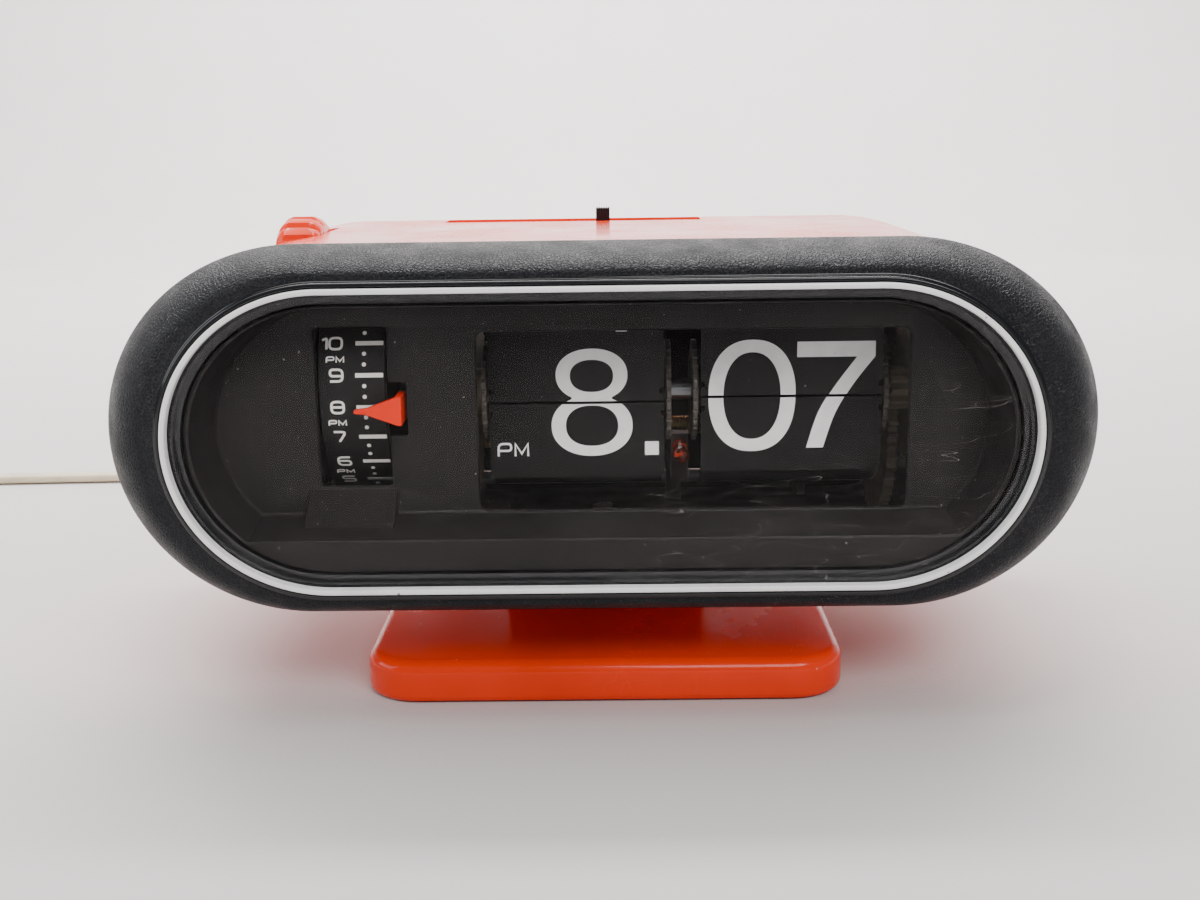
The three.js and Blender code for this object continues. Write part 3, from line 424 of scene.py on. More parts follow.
MATERIALS = {
    "leather": leatherette(),
    "gloss": gloss_black(),
    "orange": orange_enamel(),
    "white": white_enamel(),
    "lens": clear_lens(),
    "mask": satin_plastic("mask_plastic", (0.0085, 0.0070, 0.0068), (0.0130, 0.0108, 0.0106),
                          dust=0.17),
    "pointer": satin_plastic("pointer_red", (0.72, 0.018, 0.001), (0.80, 0.026, 0.002), 1200, (0.3, 0.45),
                             0.02),
    "leaf": leaf_plastic(),
    "figure": printed("figure_ink", (0.96, 0.95, 0.93)),
    "scale": printed("scale_ink", (0.80, 0.77, 0.72)),
    "drum": satin_plastic("drum_plastic", (0.075, 0.064, 0.056), (0.11, 0.094, 0.082), 1800, (0.3, 0.5),
                          0.04),
    "scale_drum": satin_plastic("scale_drum_black", (0.008, 0.007, 0.007), (0.012, 0.0105, 0.0105), 2000,
                                (0.4, 0.55), 0.05),
    "black": satin_plastic("black_plastic", (0.010, 0.010, 0.011), (0.017, 0.017, 0.018), 1300, (0.26, 0.4),
                           0.08),
    "steel": brushed_steel(),
    "motor": brushed_steel("motor_can", (0.50, 0.49, 0.46), (0.05, 1, 1)),
    "brass": turned_brass(),
    "nylon": nylon(),
    "wire": enamelled_wire(),
    "neon": neon_glow(),
    "cord": aged_vinyl("cord_vinyl", (0.66, 0.58, 0.42)),
    "plug": aged_vinyl("plug_vinyl", (0.62, 0.54, 0.39), (0.22, 0.42)),
    "pad": felt_pad(),
    # Near-black for the inside of the case and its posts: painted shade standing for the dark inside of the
    # case.
    "painted_shade_lining": satin_plastic("case_painted_shade_lining", (0.012, 0.007, 0.006), (0.02, 0.011, 0.009), 900, (0.5, 0.7),
                            0.05),
}


# ---------------------------------------------------------------- shapes
class Shape:
    """Points and faces in clock millimetres, each face with the number of its material."""

    def __init__(self):
        self.points = []
        self.faces = []
        self.marks = []

    def add(self, points, faces, mark=0):
        first = len(self.points)
        self.points += [tuple(point) for point in points]
        self.faces += [[first + i for i in face] for face in faces]
        self.marks += [mark] * len(faces)
        return self

    def join(self, other, mark=None):
        first = len(self.points)
        self.points += other.points
        self.faces += [[first + i for i in face] for face in other.faces]
        self.marks += other.marks if mark is None else [mark] * len(other.faces)
        return self

    def rings(self, rings, closed=False, mark=0, marks=None):
        """Skins rings of equal point counts: a closed loop of them, or an open run with flat ends."""
        count = len(rings[0])
        spans = len(rings) if closed else len(rings) - 1
        for span in range(spans):
            here = rings[span]
            after = rings[(span + 1) % len(rings)]
            faces = [(i, (i + 1) % count, count + (i + 1) % count, count + i) for i in range(count)]
            self.add(list(here) + list(after), faces, marks[span] if marks else mark)
        if not closed:
            self.add(rings[0], [range(count)], marks[0] if marks else mark)
            self.add(rings[-1], [range(count)], marks[-1] if marks else mark)
        return self

    def prism(self, outline, axis, low, high, mark=0):
        """An outline made thick along an axis: (y, z) along x, (x, z) along y, (x, y) along z."""
        def lift(u, v, depth):
            return {"x": (depth, u, v), "y": (u, depth, v), "z": (u, v, depth)}[axis]
        return self.rings([[lift(u, v, depth) for u, v in outline] for depth in (low, high)], mark=mark)

    def box(self, low, high, mark=0):
        (x0, y0, z0), (x1, y1, z1) = low, high
        return self.prism([(x0, z0), (x1, z0), (x1, z1), (x0, z1)], "y", y0, y1, mark)

    def turned(self, profile, axis, centre, steps=64, closed=False, mark=0):
        """A profile of (radius, distance along the axis), turned about an axis through centre."""
        def spun(radius, along, angle):
            u, v = radius * math.cos(angle), radius * math.sin(angle)
            return {"x": (along, centre[0] + u, centre[1] + v),
                    "y": (centre[0] + u, along, centre[1] + v),
                    "z": (centre[0] + u, centre[1] + v, along)}[axis]
        rings = [[spun(radius, along, 2 * math.pi * i / steps) for i in range(steps)] for radius,
                 along in profile]
        return self.rings(rings, closed, mark)


def rod(radius, low, high, axis, centre, steps):
    """A plain round bar, or the tool that drills its hole."""
    return Shape().turned([(CENTRE_R, low), (radius, low), (radius, high), (CENTRE_R, high)], axis, centre,
                          steps)


def fresh_mesh(name, shape, shift):
    mesh = bpy.data.meshes.new(name)
    points = [(x * MM, (y + shift) * MM, z * MM) for x, y, z in shape.points]
    mesh.from_pydata(points, [], shape.faces)
    mesh.polygons.foreach_set("material_index", shape.marks)
    work = bmesh.new()
    work.from_mesh(mesh)
    bmesh.ops.remove_doubles(work, verts=work.verts, dist=1e-7)
    bmesh.ops.dissolve_degenerate(work, dist=1e-8, edges=work.edges)
    bmesh.ops.recalc_face_normals(work, faces=work.faces)
    work.to_mesh(mesh)
    work.free()
    return mesh


def evaluated(holder):
    """The holder's mesh as its modifiers leave it."""
    graph = bpy.context.evaluated_depsgraph_get()
    graph.update()
    return bpy.data.meshes.new_from_object(holder.evaluated_get(graph))


def carve(holder, cutters, shift):
    """Cuts closed shapes out of the holder's mesh."""
    for cutter in cutters:
        mesh = fresh_mesh("cutter", cutter, shift)
        for material in holder.data.materials:
            mesh.materials.append(material)
        tool = add_object("cutter", mesh)
        cut = holder.modifiers.new("cut", "BOOLEAN")
        cut.operation = "DIFFERENCE"
        cut.solver = "EXACT"
        cut.use_self = True
        cut.object = tool
        result = evaluated(holder)
        holder.modifiers.clear()
        holder.data = result
        bpy.data.objects.remove(tool)


def round_edges(holder, width, angle=32, segments=2):
    """Softens the sharp edges of a piece without moving its vertices."""
    bevel = holder.modifiers.new("edges", "BEVEL")
    bevel.width = width * MM
    bevel.segments = segments
    bevel.limit_method = "ANGLE"
    bevel.angle_limit = math.radians(angle)
    bevel.harden_normals = False


def smooth(mesh, angle=35):
    mesh.shade_smooth()
    mesh.set_sharp_from_angle(angle=math.radians(angle))


def piece(name, shape, body, materials, replaces=(), cutters=(), bevel=0, sharp=35, world=False):
    """A shape as a named object that rides on a body. With world, its y is the frame's own."""
    shift = 0 if world else RIM_Y
    holder = add_object(name, fresh_mesh(name, shape, shift))
    for material in materials:
        holder.data.materials.append(MATERIALS[material])
    carve(holder, cutters, shift)
    holder.data.name = name
    smooth(holder.data, sharp)
    if bevel:
        round_edges(holder, bevel)
    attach(holder, body)
    if replaces:
        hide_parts(*replaces)
    return holder


# ---------------------------------------------------------------- outlines
def grow(outline, amount):
    return tuple(size + amount for size in outline)


def mix(a, b, share):
    return tuple(one + (other - one) * share for one, other in zip(a, b))


def pill(outline, steps=ROUND, floor=-math.inf):
    """Half width, half height and length of a round end, as (x, z) points: straight top and bottom."""
    width, height, end = outline
    start = math.asin(max(-1, (floor - CENTRE_Z) / height))
    right = []
    for step in range(steps + 1):
        angle = start + (math.pi / 2 - start) * step / steps
        right.append((width - end + end * math.cos(angle), CENTRE_Z + height * math.sin(angle)))
    return right + [(-x, z) for x, z in reversed(right)]


def pill_ring(outline, y, steps=2 * ROUND, floor=-math.inf):
    return [(x, y, z) for x, z in pill(outline, steps, floor)]


def rounded_rectangle(x0, x1, y0, y1, corner, steps=8):
    points = []
    centres = [(x1 - corner, y1 - corner), (x0 + corner, y1 - corner), (x0 + corner, y0 + corner),
               (x1 - corner, y0 + corner)]
    for quarter, (x, y) in enumerate(centres):
        for step in range(steps + 1):
            angle = math.pi / 2 * (quarter + step / steps)
            points.append((x + corner * math.cos(angle), y + corner * math.sin(angle)))
    return points


def oval(x, z, half_width, half_height, power=2.25, steps=72):
    """A superellipse: power 2 is an ellipse, and more is squarer."""
    points = []
    for step in range(steps):
        angle = 2 * math.pi * step / steps
        c, s = math.cos(angle), math.sin(angle)
        points.append((x + half_width * math.copysign(abs(c) ** (2 / power), c),
                       z + half_height * math.copysign(abs(s) ** (2 / power), s)))
    return points


def spline(points, steps=6, closed=False):
    """A smooth line through points, by Catmull and Rom."""
    points = [Vector(point) for point in points]
    count = len(points)
    line = []
    for i in range(count if closed else count - 1):
        a, b, c, d = (points[(i + k) % count] if closed else points[min(max(i + k, 0), count - 1)]
                      for k in (-1, 0, 1, 2))
        for step in range(steps):
            t = step / steps
            line.append(0.5 * (2 * b + (c - a) * t + (2 * a - 5 * b + 4 * c - d) * t ** 2
                               + (3 * b - a - 3 * c + d) * t ** 3))
    return line if closed else line + [points[-1]]


# ---------------------------------------------------------------- mains lead
CORD_WIDTH, CORD_THICK = 5.2, 2.8
COIL_X, COIL_Y, COIL_INNER, COIL_TURNS = -246, 100, 22.5, 6.5
COIL_OUTER = COIL_INNER + CORD_WIDTH * COIL_TURNS / 2
LEAD_Z, PLUG_Z = 1.6, 6.2
ROUTE = [
    (-0.040, 0.0786, 0.038), (-0.040, 0.086, 0.0372), (-0.0405, 0.093, 0.033), (-0.042, 0.099, 0.0255),
    (-0.0445, 0.104, 0.0165), (-0.0485, 0.109, 0.0086), (-0.0545, 0.1145, 0.0036), (-0.063, 0.1205, 0.0017),
    (-0.075, 0.127, 0.0016), (-0.090, 0.133, 0.0016), (-0.108, 0.1376, 0.0016), (-0.128, 0.1404, 0.0016),
    (-0.150, 0.1414, 0.0016), (-0.172, 0.1408, 0.0016), (-0.194, 0.140, 0.0016), (-0.216, 0.1394, 0.0016),
]


def cord_line():
    """The cord's centreline in metres: the laid stretch, two layers of coil, and the run to the plug."""
    line = spline(ROUTE, 8)
    steps = 26
    total = round(COIL_TURNS * steps)
    for step in range(total + 1):
        turn = step / steps
        half = COIL_TURNS / 2
        radius = COIL_OUTER - CORD_WIDTH * (turn if turn < half else COIL_TURNS - turn)
        climb = min(max((turn - half + 0.2) / 0.4, 0), 1)
        angle = math.pi / 2 + 2 * math.pi * turn
        line.append(Vector((COIL_X + radius * math.cos(angle), COIL_Y + radius * math.sin(angle),
                            LEAD_Z + CORD_THICK * climb)) * MM)
    plug_y = COIL_Y - COIL_OUTER
    for x, z in [(-240, 4.5), (-233, 5.0), (-226, 5.8), (-219.5, PLUG_Z)]:
        line.append(Vector((x, plug_y, z)) * MM)
    return line


def twin_section(across, over, steps=9):
    """A flat twin cord's outline round its centre: two round cores with a groove between them."""
    radius = CORD_THICK / 2
    apart = (CORD_WIDTH - CORD_THICK) / 2
    ring = []
    for side in (1, -1):
        for step in range(steps + 1):
            angle = math.pi * (step / steps - side / 2)
            ring.append((side * apart + radius * math.cos(angle), radius * math.sin(angle)))
        ring.append((0, 0.72 * side * radius))
    return [across * u + over * v for u, v in ring]


def add_lead():
    line = cord_line()
    rings = []
    for i, point in enumerate(line):
        ahead = (line[min(i + 1, len(line) - 1)] - line[max(i - 1, 0)]).normalized()
        across = ahead.cross(UP)
        across = across.normalized() if across.length > 0.05 else Vector((1, 0, 0))
        twist = 0.45 * math.sin(math.pi * i / 60) if i < 60 else 0
        across = Matrix.Rotation(twist, 3, ahead) @ across
        over = across.cross(ahead)
        rings.append([point / MM + offset for offset in twin_section(across, over)])
    length = sum((b - a).length for a, b in zip(line, line[1:]))
    cord = piece("mains_cord", Shape().rings(rings), "frame", ["cord"], ["power_cord", "cord_coil"],
                 sharp=50, world=True)

    boot = [(0, 49.6), (5.0, 49.6), (5.2, 49.9), (5.2, 51.4), (4.9, 51.8), (4.2, 52.4)]
    for rib in range(9):
        y = 54 + 2.5 * rib
        radius = 4.1 - 0.115 * rib
        boot += [(radius, y), (radius, y + 1.3), (radius - 0.55, y + 1.5), (radius - 0.55, y + 2.3)]
    boot += [(3.1, 77), (3.0, 78.1), (2.8, 78.3), (0, 78.3)]
    relief = piece("cord_boot", Shape().turned([(max(r, 0.01), y) for r, y in boot], "y", CORD_HOLE, 40),
                   "frame",
                   ["cord"], ["strain_relief"], sharp=40, world=True)

    plug = add_plug()


def add_plug():
    """A moulded two-pin plug with finger ribs and flat blades."""
    start = COIL_X + 27
    middle_y = COIL_Y - COIL_OUTER
    sections = [(0, 3.6, 3.2), (0.6, 4.6, 3.9), (5, 6.6, 4.6), (9, 9.6, 5.4), (12, 11.0, 6.0),
                (14, 11.3, 6.05),
                (25, 11.4, 6.08), (26.4, 11.1, 5.9), (27, 10.2, 5.2)]
    rings = []
    for x, half_width, half_height in sections:
        outline = oval(middle_y, PLUG_Z, half_width, half_height, 3.6, 56)
        rings.append([(start + x, y, z) for y, z in outline])
    shape = Shape().rings(rings)
    for x in (13.5, 16.5, 19.5, 22.5):
        for side in (-1, 1):
            rib = rounded_rectangle(start + x - 0.7, start + x + 0.7, PLUG_Z - 3.6, PLUG_Z + 3.6, 0.65, 5)
            inner, outer = sorted((middle_y + side * 10.9, middle_y + side * 11.7))
            shape.prism(rib, "y", inner, outer)
    for side in (-1, 1):
        blade_y = middle_y + 6.35 * side
        outline = [(start + 26, PLUG_Z - 3.1), (start + 43, PLUG_Z - 3.1), (start + 44, PLUG_Z - 2.2),
                   (start + 44, PLUG_Z + 2.2), (start + 43, PLUG_Z + 3.1), (start + 26, PLUG_Z + 3.1)]
        shape.prism(outline, "y", blade_y - 0.75, blade_y + 0.75, 1)
    holes = Shape()
    holes.turned([(0.01, middle_y - 9), (1.5, middle_y - 9), (1.5, middle_y + 9), (0.01, middle_y + 9)], "y",
                 (start + 40, PLUG_Z), 24)
    return piece("mains_plug", shape, "frame", ["plug", "brass"], ["plug"], [holes], 0.15, world=True)


# ---------------------------------------------------------------- bezel, ring, lens and dial mask
RIM = (95, 35.65, 37.9)       # half width, half height and length of a round end
RING = (80.9, 28.65, 30.4)


def add_bezel():
    """The surround: a gloss step beside the ring, then a grained band that rolls to the rim."""
    step = [(0.3, -12.2), (0.3, -13.75), (0.4, -13.9), (0.75, -13.9), (0.95, -13.8), (1.1, -13.3),
            (1.2, -12.95),
            (1.5, -12.75)]
    rings = [pill_ring(grow(RING, out), y) for out, y in step]
    marks = [1] * (len(step) - 1) + [0]
    roll = 30
    for i in range(roll + 1):
        angle = math.pi / 2 * i / roll
        rings.append(pill_ring(mix(RING, RIM, 0.3 + 0.7 * math.sin(angle)), -12.7 * math.cos(angle) ** 1.8))
        marks.append(0)
    back = [(RIM, 1.0), (grow(RIM, -0.15), 1.3), (grow(RIM, -0.45), 1.4), (grow(RIM, -2.4), 1.4),
            (grow(RIM, -2.4), -3), (grow(RING, -0.6), -7.6), (grow(RING, -3), -7.8), (grow(RING, -3), -10.6),
            (grow(RING, -1.3), -10.6), (grow(RING, -1.3), -12.2)]
    rings += [pill_ring(outline, y) for outline, y in back]
    marks += [1] * len(back)
    piece("bezel_band", Shape().rings(rings, True, marks=marks), "frame", ["leather", "gloss"],
          ["bezel"],
          sharp=50)


def add_ring():
    profile = [(0, -12.5), (0, -14.2), (-0.08, -14.4), (-0.3, -14.5), (-0.8, -14.5), (-0.98, -14.4),
               (-1.05, -14.2),
               (-1.05, -12.5)]
    rings = [pill_ring(grow(RING, out), y) for out, y in profile]
    piece("white_ring", Shape().rings(rings, True), "frame", ["white"], ["trim_ring"], sharp=60)


def add_lens():
    """A flat clear window with a bevelled, polished edge."""
    profile = [(-2.75, -13.7), (-2.45, -13.66), (-1.75, -13.0), (-1.62, -12.8), (-1.6, -12.5), (-1.6, -11.1),
               (-1.75, -10.9)]
    rings = [pill_ring(grow(RING, out), y) for out, y in profile]
    piece("lens_window", Shape().rings(rings), "frame", ["lens"], ["lens"], sharp=20)


MASK_FRONT, MASK_PLANE, MASK_BACK = -10.2, 3, 5
POCKET_FRONT, POCKET_BACK = (76.4, 24.8, 26.4), (75, 24.2, 25.6)
SHELF_FRONT, SHELF_BACK = 35.3, 36.8
DIGIT_WINDOW = (-24, 59.4, 37.2, 72.4)
ALARM_WINDOW = (-55, -41.1, 42.4, 73.7)


def window_cutter(window, corner, y0=MASK_PLANE - 4, y1=MASK_BACK + 1):
    """A through window with round corners, its front edge eased."""
    x0, x1, z0, z1 = window
    layers = [(y0, 0.45), (MASK_PLANE - 0.02, 0.42), (MASK_PLANE + 0.14, 0.16), (MASK_PLANE + 0.4, 0),
              (y1, 0)]
    rings = []
    for y, ease in layers:
        outline = rounded_rectangle(x0 - ease, x1 + ease, z0 - ease, z1 + ease, corner + ease)
        rings.append([(x, y, z) for x, z in outline])
    return Shape().rings(rings)


def add_mask():
    """The black dial surround behind the lens: a pocket with a drum window and a digit window."""
    front = grow(RING, -3.4)
    body = Shape().rings([pill_ring(grow(front, -0.5), MASK_FRONT, ROUND),
                          pill_ring(grow(front, -0.12), -10.05, ROUND),
                          pill_ring(front, -9.7, ROUND), pill_ring(front, MASK_BACK, ROUND)])

    def pocket_ring(share, inset, y):
        floor = SHELF_FRONT + (SHELF_BACK - SHELF_FRONT) * share + inset
        return pill_ring(grow(mix(POCKET_FRONT, POCKET_BACK, share), -inset), y, ROUND, floor)
    pocket = Shape().rings([
        pocket_ring(0, -0.9, MASK_FRONT - 1), pocket_ring(0, -0.55, MASK_FRONT),
        pocket_ring(0.02, -0.14, MASK_FRONT + 0.2), pocket_ring(0.06, 0, MASK_FRONT + 0.8),
        pocket_ring(0.94, 0, MASK_PLANE - 0.9),
        pocket_ring(0.98, 0.12, MASK_PLANE - 0.35), pocket_ring(1, 0.5, MASK_PLANE),
    ])
    hollow = Shape().rings([pill_ring((74, 23.4, 24.6), y, 24) for y in (MASK_PLANE + 1.4, MASK_BACK + 1)])
    under_shelf = Shape().box((-50, MASK_FRONT + 1.8, 29.5), (50, MASK_BACK + 1, 34))
    notch = Shape().prism(rounded_rectangle(-43, -37.5, 52.4, 63, 0.5), "y", MASK_PLANE - 3, MASK_BACK + 1)
    piece("dial_surround", body, "frame", ["mask"], ["dial_mask"],
          [pocket, hollow, under_shelf, window_cutter(DIGIT_WINDOW, 1.6), window_cutter(ALARM_WINDOW, 0.8),
           notch])

    ramp = Shape().prism([(-4.4, 35.5), (MASK_PLANE, 35.5), (MASK_PLANE, 42.2), (MASK_PLANE - 0.6, 41.6)],
                         "x",
                         -57.5, -40)
    piece("drum_ramp", ramp, "frame", ["mask"], bevel=0.3)


def add_pointer():
    """A slender arrowhead that points across the drum's scale, with a raised, chamfered face."""
    face = [(-47.5, 57.6), (-47.5, 58.0), (-47.1, 58.2), (-45.1, 58.4), (-39.1, 60.6), (-38.3, 60.6),
            (-38.3, 55.0), (-39.1, 55.0), (-45.1, 57.2), (-47.1, 57.4)]
    shape = Shape().prism(face, "y", 0.1, 1.6)
    shape.box((-39.7, 1.4, 55.1), (-38.3, 8, 60.5))
    piece("pointer_arrow", shape, "frame", ["pointer"], ["alarm_pointer"], bevel=0.12)


# ---------------------------------------------------------------- case
CASE = grow(RIM, -1)
COVER = grow(CASE, -5.5)
CASE_TOP = CENTRE_Z + CASE[1]
SCREW_X, SCREW_Z = 48, 29
CORD_HOLE = (-40, 38)         # in x and z
BASE_SCREW_Y = (37, 55)
# Axles along x, each at its (y, z).
DISPLAY_AXIS, ARBOR_AXIS = (26, 56.6), (46, 45)
ALARM_AXIS, ALARM_WHEEL_AXIS, ALARM_WHEEL_R = (27, 60.1), (49, 78.3), 14
TIME_WHEEL_AXIS, TIME_WHEEL_R = (74.55, 54.397), 18.85
WALL = 2.2


def add_case():
    """The gloss shell: a soft rear edge, a thumbwheel slot, and a recess for the alarm switch. Its inner
    faces are near-black painted shade.
    """
    skin = [(-0.25, 1.7), (0, 1.95), (0, 84.9)]
    for i in range(1, 13):
        angle = math.pi / 2 * i / 12
        skin.append((-4.0 * (1 - math.cos(angle)), 84.9 + 4.9 * math.sin(angle)))
    skin += [(-4.9, 89.8), (-5.2, 89.5), (-5.2, 84.4), (-WALL, 81), (-WALL, 1.7)]
    # The last three spans, the shell's inner wall, take the near-black painted shade.
    marks = [0] * (len(skin) - 3) + [1] * 3
    shell = Shape().rings([pill_ring(grow(CASE, out), y) for out, y in skin], True, marks=marks)
    cutters = [
        Shape().prism(rounded_rectangle(-70.8, -60.3, 34, 64, 1.6), "z", 78.3, CASE_TOP + 1),
        Shape().prism(rounded_rectangle(-37.5, 23.6, 74, 84.5, 1.2), "z", CASE_TOP - 0.9, CASE_TOP + 1),
        Shape().prism(rounded_rectangle(-10.5, 3.4, 77.6, 80.4, 0.8), "z", CASE_TOP - 4, CASE_TOP),
    ]
    piece("case_body", shell, "frame", ["orange", "painted_shade_lining"], ["case_shell"], cutters, sharp=40)
    posts = Shape()
    for x in (-SCREW_X, SCREW_X):
        posts.turned([(0.01, 70), (3.5, 70), (3.5, 86.3), (0.01, 86.3)], "y", (x, SCREW_Z), 32)
        posts.box((x - 1.2, 70, 22.5), (x + 1.2, 80, 27))
    # The posts inside the case are near-black too: painted shade.
    piece("case_posts", posts, "frame", ["painted_shade_lining"], bevel=0.2)


def add_cover():
    """The rear cover: louvres, the time wheel's slot, screw wells and the cord's hole."""
    profile = [(0, 86.6), (0, 88.2), (-0.2, 88.6), (-0.6, 88.8)]
    # The cover's inward face and its first stretch of edge take the near-black painted shade.
    plate = Shape().rings([pill_ring(grow(COVER, out), y, ROUND) for out, y in profile], marks=[1, 0, 0])
    cutters = []
    for z in (62, 66, 70, 74):
        for x in (-30, 6):
            cutters.append(Shape().prism(rounded_rectangle(x, x + 24, z - 0.9, z + 0.9, 0.85), "y", 85, 90))
    wheel_z = TIME_WHEEL_AXIS[1]
    cutters.append(Shape().prism(rounded_rectangle(50.2, 57.8, wheel_z - 14.5, wheel_z + 14.5, 1.2), "y", 85,
                                 90))
    for x in (-SCREW_X, SCREW_X):
        cutters.append(rod(1.6, 85, 90, "y", (x, SCREW_Z), 32))
    cutters.append(rod(3.4, 85, 90, "y", CORD_HOLE, 40))
    piece("back_cover", plate, "frame", ["orange", "painted_shade_lining"], ["rear_cover"], cutters)

    lips = Shape()
    for x, r in ((-SCREW_X, 3.9), (SCREW_X, 3.9)):
        lips.turned([(r, 88.7), (r, 89.15), (r - 0.25, 89.3), (r - 0.6, 89.3), (r - 0.8, 89.1),
                     (r - 0.8, 88.7)],
                    "y", (x, SCREW_Z), 48, True)
    lips.turned([(6.2, 88.7), (6.2, 89.2), (5.9, 89.4), (5.5, 89.4), (5.3, 89.2), (5.3, 88.7)], "y",
                CORD_HOLE, 56,
                True)
    for z, way in ((wheel_z + 18.5, 1), (wheel_z - 18.5, -1)):
        lips.prism([(52.2, z - way), (55.8, z - way), (54, z + 1.6 * way)], "y", 88.7, 89.2)
    piece("cover_rims", lips, "frame", ["orange"], bevel=0.12)


def add_switch():
    """A ribbed slider cap with a flat flange that stays in the slot."""
    top = CASE_TOP
    shape = Shape()
    for i in range(6):
        x = -1.35 + 0.57 * i
        shape.box((x, 77.85, top - 1), (x + 0.32, 80.15, top + 3.0))
    shape.box((-1.45, 78.0, top - 2.8), (1.85, 80.0, top + 2.75))
    shape.box((-3.2, 76.6, top - 3.1), (3, 81, top - 2.5))
    shape.box((-1, 78.3, top - 6), (1.4, 79.7, top - 3))
    piece("switch_cap", shape, "switch", ["black"], ["alarm_switch_knob"], bevel=0.12)


BASE = {"w": 47.9, "front": -5.5, "back": 72, "bottom": 0.4, "top": 8.5, "corner": 11}
NECK = {"w": 21.75, "front": 29, "back": 63, "corner": 6}


def add_pedestal():
    """A thick gloss foot with a rolled top edge, and the neck that flares into it."""
    def plan(inset, z):
        outline = rounded_rectangle(inset - BASE["w"], BASE["w"] - inset, BASE["front"] + inset,
                                    BASE["back"] - inset,
                                    BASE["corner"] - inset, 20)
        return [(x, y, z) for x, y in outline]
    rings = [plan(1.1, BASE["bottom"]), plan(0.45, BASE["bottom"] + 0.15), plan(0.12, BASE["bottom"] + 0.6),
             plan(0, BASE["bottom"] + 1.3)]
    radius = 2.5
    for i in range(15):
        angle = math.pi / 2 * i / 14
        rings.append(plan(radius * (1 - math.cos(angle)), BASE["top"] - radius + radius * math.sin(angle)))
    well = Shape().prism(rounded_rectangle(-42, 42, 5.5, 66, 8), "z", -1, 1.3)
    holes = [Shape().turned([(0.01, 0), (3.4, 0), (3.4, 4.4), (1.6, 4.4), (1.6, 10), (0.01, 10)], "z", (0, y),
                            32)
             for y in BASE_SCREW_Y]
    piece("base_foot", Shape().rings(rings), "frame", ["orange"], ["pedestal_base"], [well, *holes],
          sharp=40)

    def neck(spread, z):
        outline = rounded_rectangle(-NECK["w"] - spread, NECK["w"] + spread, NECK["front"] - spread,
                                    NECK["back"] + spread, NECK["corner"] + spread, 14)
        return [(x, y, z) for x, y in outline]
    profile = [(1.6, 8.8), (1.2, 9.0), (0.75, 9.4), (0.4, 10.0), (0.15, 10.8), (0, 11.8), (0, 19.35)]
    bores = [rod(1.6, 8, 21, "z", (0, y), 24) for y in BASE_SCREW_Y]
    piece("base_neck", Shape().rings([neck(*row) for row in profile]), "frame", ["orange"],
          ["pedestal_neck"], bores, sharp=50)

    low, high = clock_box("base_pad")
    layers = [(0.25, low.z), (0, low.z + 0.2), (0, high.z)]
    rings = []
    for inset, z in layers:
        outline = rounded_rectangle(low.x + inset, high.x - inset, low.y + inset, high.y - inset, 7.7 - inset,
                                    10)
        rings.append([(x, y, z) for x, y in outline])
    wells = [rod(3.6, -1, 2, "z", (0, y), 24) for y in BASE_SCREW_Y]
    piece("felt_foot", Shape().rings(rings), "frame", ["pad"], ["base_pad"], wells)


# ---------------------------------------------------------------- gears and thumbwheels
def gear_outline(axis, teeth, size, phase):
    """Trapezoid teeth round an axis, with one centred on the angle phase."""
    pitch = 2 * math.pi / teeth
    root, tip = size * (teeth / 2 - 1.15), size * (teeth / 2 + 0.8)
    points = []
    for tooth in range(teeth):
        for radius, share in ((root, -0.29), (tip, -0.12), (tip, 0.12), (root, 0.29)):
            angle = phase + (tooth + share) * pitch
            points.append(on_circle(axis, radius, angle))
    return points


RING_TEETH, ALARM_WHEEL_TEETH = 45, 15
SHAFT_TEETH, TRANSFER_TEETH, TIME_WHEEL_TEETH = 10, 50, 28
ALARM_TOOTH = 2 * (Vector(ALARM_WHEEL_AXIS) - Vector(ALARM_AXIS)).length / (RING_TEETH + ALARM_WHEEL_TEETH)


def mesh_phase(driver, driven, driver_teeth, driven_teeth, driver_phase):
    """The phase that puts a gap of the driven gear on a tooth of its driver."""
    away, back = driven - driver, driver - driven
    lead = math.fmod(driver_phase - math.atan2(away.y, away.x), 2 * math.pi / driver_teeth)
    return math.atan2(back.y, back.x) - lead * driver_teeth / driven_teeth + math.pi / driven_teeth


def thumbwheel(axis, radius, x0, x1, grooves):
    """A crowned wheel with a scalloped grip."""
    width = x1 - x0
    sections = [(x0, 1.9, 0.1), (x0 + 0.05 * width, 1.3, 0.35), (x0 + 0.14 * width, 0.5, 0.7),
                (x0 + 0.26 * width, 0, 0.85), (x1 - 0.26 * width, 0, 0.85), (x1 - 0.14 * width, 0.5, 0.7),
                (x1 - 0.05 * width, 1.3, 0.35), (x1, 1.9, 0.1)]
    steps = 8 * grooves
    rings = []
    for x, inset, depth in sections:
        ring = []
        for i in range(steps):
            angle = 2 * math.pi * i / steps
            dip = depth * max(0, -math.cos(grooves * angle)) ** 0.7
            ring.append((x, *on_circle(axis, radius - inset - dip, angle)))
        rings.append(ring)
    return Shape().rings(rings)


def add_alarm_wheel():
    """The orange wheel that comes through the left shoulder and turns the alarm drum."""
    bore = [rod(1.8, -72, -56, "x", ALARM_WHEEL_AXIS, 24)]
    wheel = thumbwheel(ALARM_WHEEL_AXIS, ALARM_WHEEL_R, -70.2, -61, 20)
    phase = mesh_phase(Vector(ALARM_AXIS), Vector(ALARM_WHEEL_AXIS), RING_TEETH, ALARM_WHEEL_TEETH, 0)
    wheel.prism(gear_outline(ALARM_WHEEL_AXIS, ALARM_WHEEL_TEETH, ALARM_TOOTH, phase), "x", -61.2, -57.2)
    piece("alarm_thumbwheel", wheel, "alarm_setter", ["orange"], ["alarm_set_wheel"], bore,
          sharp=45)


